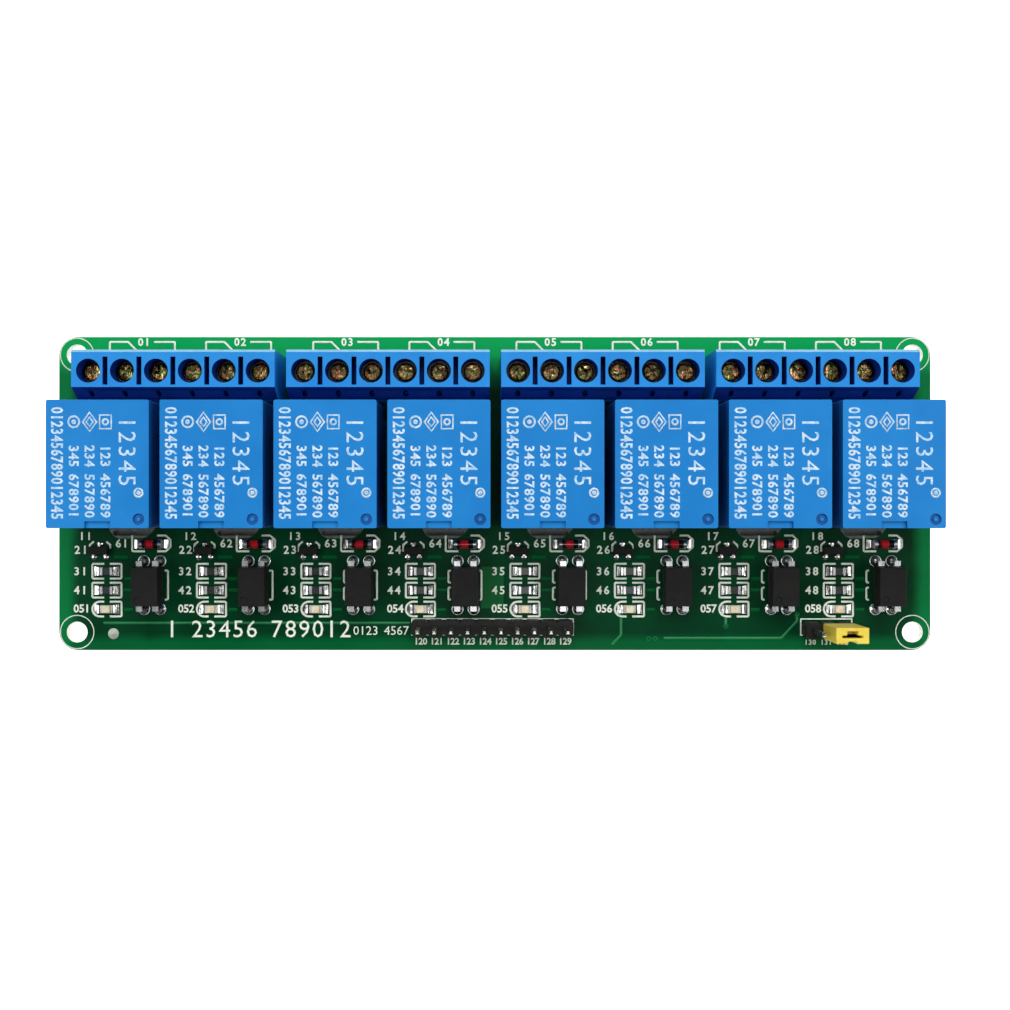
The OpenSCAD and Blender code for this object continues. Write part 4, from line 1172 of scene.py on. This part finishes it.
# %% Solder on transistors, diodes and optocouplers
foot_blob = turned("foot_blob_model", [(0.0, 0.22), (0.25, 0.2), (0.42, 0.12), (0.52, 0.0)], 14)
foot_places = []
for low, high in solid_boxes("transistor_leads"):
    y = low.y + 0.2 * MM if (low.y + high.y) / 2 < ty * MM else high.y - 0.2 * MM
    foot_places.append(((low.x + high.x) / 2, y, board_top, 0))
finish(repeat("transistor_solder", foot_blob, foot_places, solder_metal))

diode_fillet = fillet_model("diode_fillet_model", 0.95, 0.7, 1.2, 0.12)
diode_places = end_places("diode_ends", diode_middles)
finish(repeat("diode_solder", diode_fillet, diode_places, solder_metal))

joint_places = []
for middle in opto_middles:
    for x in (-1.27, 1.27):
        for y in (-3.81, 3.81):
            joint_places.append((middle.x + x * MM, middle.y + y * MM, board_top, 0))
upper_joints = [p for p in joint_places if p[1] > opto_middles[0].y]
lower_joints = [p for p in joint_places if p[1] < opto_middles[0].y]
leg_pad = turned("leg_pad_model", [(0.3, 0.16), (0.5, 0.06), (0.8, 0.03), (0.84, 0.0)], 24)
finish(repeat("leg_solder", leg_pad, upper_joints, dull_solder))
leg_cone = turned("leg_cone_model", [(0.3, 0.5), (0.42, 0.32), (0.62, 0.14), (0.84, 0.0)], 24)
finish(repeat("leg_cones", leg_cone, lower_joints, solder_metal))
leg_rim = turned("leg_rim_model", [(0.82, 0.0), (0.84, 0.035), (0.93, 0.035), (0.95, 0.0)], 24)
finish(repeat("leg_rims", leg_rim, joint_places, tin_plate))

# %% [markdown]
# ## Camera mark
# A bare disc at the lower left corner gives the placing machine's camera a fixed point. It is copper
# with a dull tin finish, with a small pip in its middle.

# %% Camera mark
mark = turned("camera_mark_model", [(0.0, 0.06), (0.14, 0.05), (0.2, 0.02), (0.8, 0.02),
                                    (0.86, 0.0)], 32)
mark_metal = worked("mark_metal", (176, 182, 172), (136, 146, 134), 0.5, metallic=0.4)
mark_place = (-60.4 * MM, -22.2 * MM, board_top, 0)
finish(repeat("camera_mark", mark, [mark_place], mark_metal))

# %% [markdown]
# ## The bench
# The board lies on a white bench. Its colour alone looks grey where the lamp reaches it less, so it
# gives off a little light of its own, but only to the camera and in mirrors, and not under the board
# itself, where a grey patch is painted as shade. The board's shadow still falls on the bench.

# %% Bench
bench_mesh = bpy.data.meshes.new("bench")
bench_level, bench_reach = cad_box[0][2], 3.0
shade_patch_inset, bench_glow = 5 * MM, 0.85
around = ((-1, -1), (1, -1), (1, 1), (-1, 1))
bench_mesh.from_pydata([(x * bench_reach, y * bench_reach, bench_level) for x, y in around],
                       [], [(0, 1, 2, 3)])
bench = add_object("bench", bench_mesh)
bench_white, tree, bsdf = bare_material("bench_white", Roughness=0.9, Specular_IOR_Level=0.1,
                                        Emission_Color=(1, 1, 1, 1))
where = object_place(tree)
paper = add_node(tree, "ShaderNodeTexNoise", Vector=where, Scale=900.0, Detail=3.0)
white = blend_colour(tree, paper.outputs["Fac"], paint(246, 246, 246), paint(252, 252, 252))
axes = add_node(tree, "ShaderNodeSeparateXYZ", Vector=where)
inside_x = calc(tree, "SUBTRACT", half_length - shade_patch_inset,
                calc(tree, "ABSOLUTE", axes.outputs["X"]))
inside_y = calc(tree, "SUBTRACT", half_width - shade_patch_inset,
                calc(tree, "ABSOLUTE", axes.outputs["Y"]))
inside = calc(tree, "GREATER_THAN", calc(tree, "MINIMUM", inside_x, inside_y), 0.0)
# Under the board the bench is painted grey, as painted shade, and gets no glow.
tree.links.new(blend_colour(tree, inside, white, paint(150, 152, 150)), bsdf.inputs["Base Color"])
seen = add_node(tree, "ShaderNodeLightPath")
seen_at_all = calc(tree, "MAXIMUM", calc(tree, "MAXIMUM", seen.outputs["Is Camera Ray"],
                                         seen.outputs["Is Glossy Ray"]),
                   seen.outputs["Is Transmission Ray"])
glow = calc(tree, "MULTIPLY", seen_at_all, calc(tree, "SUBTRACT", 1.0, inside))
tree.links.new(calc(tree, "MULTIPLY", glow, bench_glow), bsdf.inputs["Emission Strength"])
bench_mesh.materials.append(bench_white)
print("bench at mm:", round(bench_level / MM, 2))
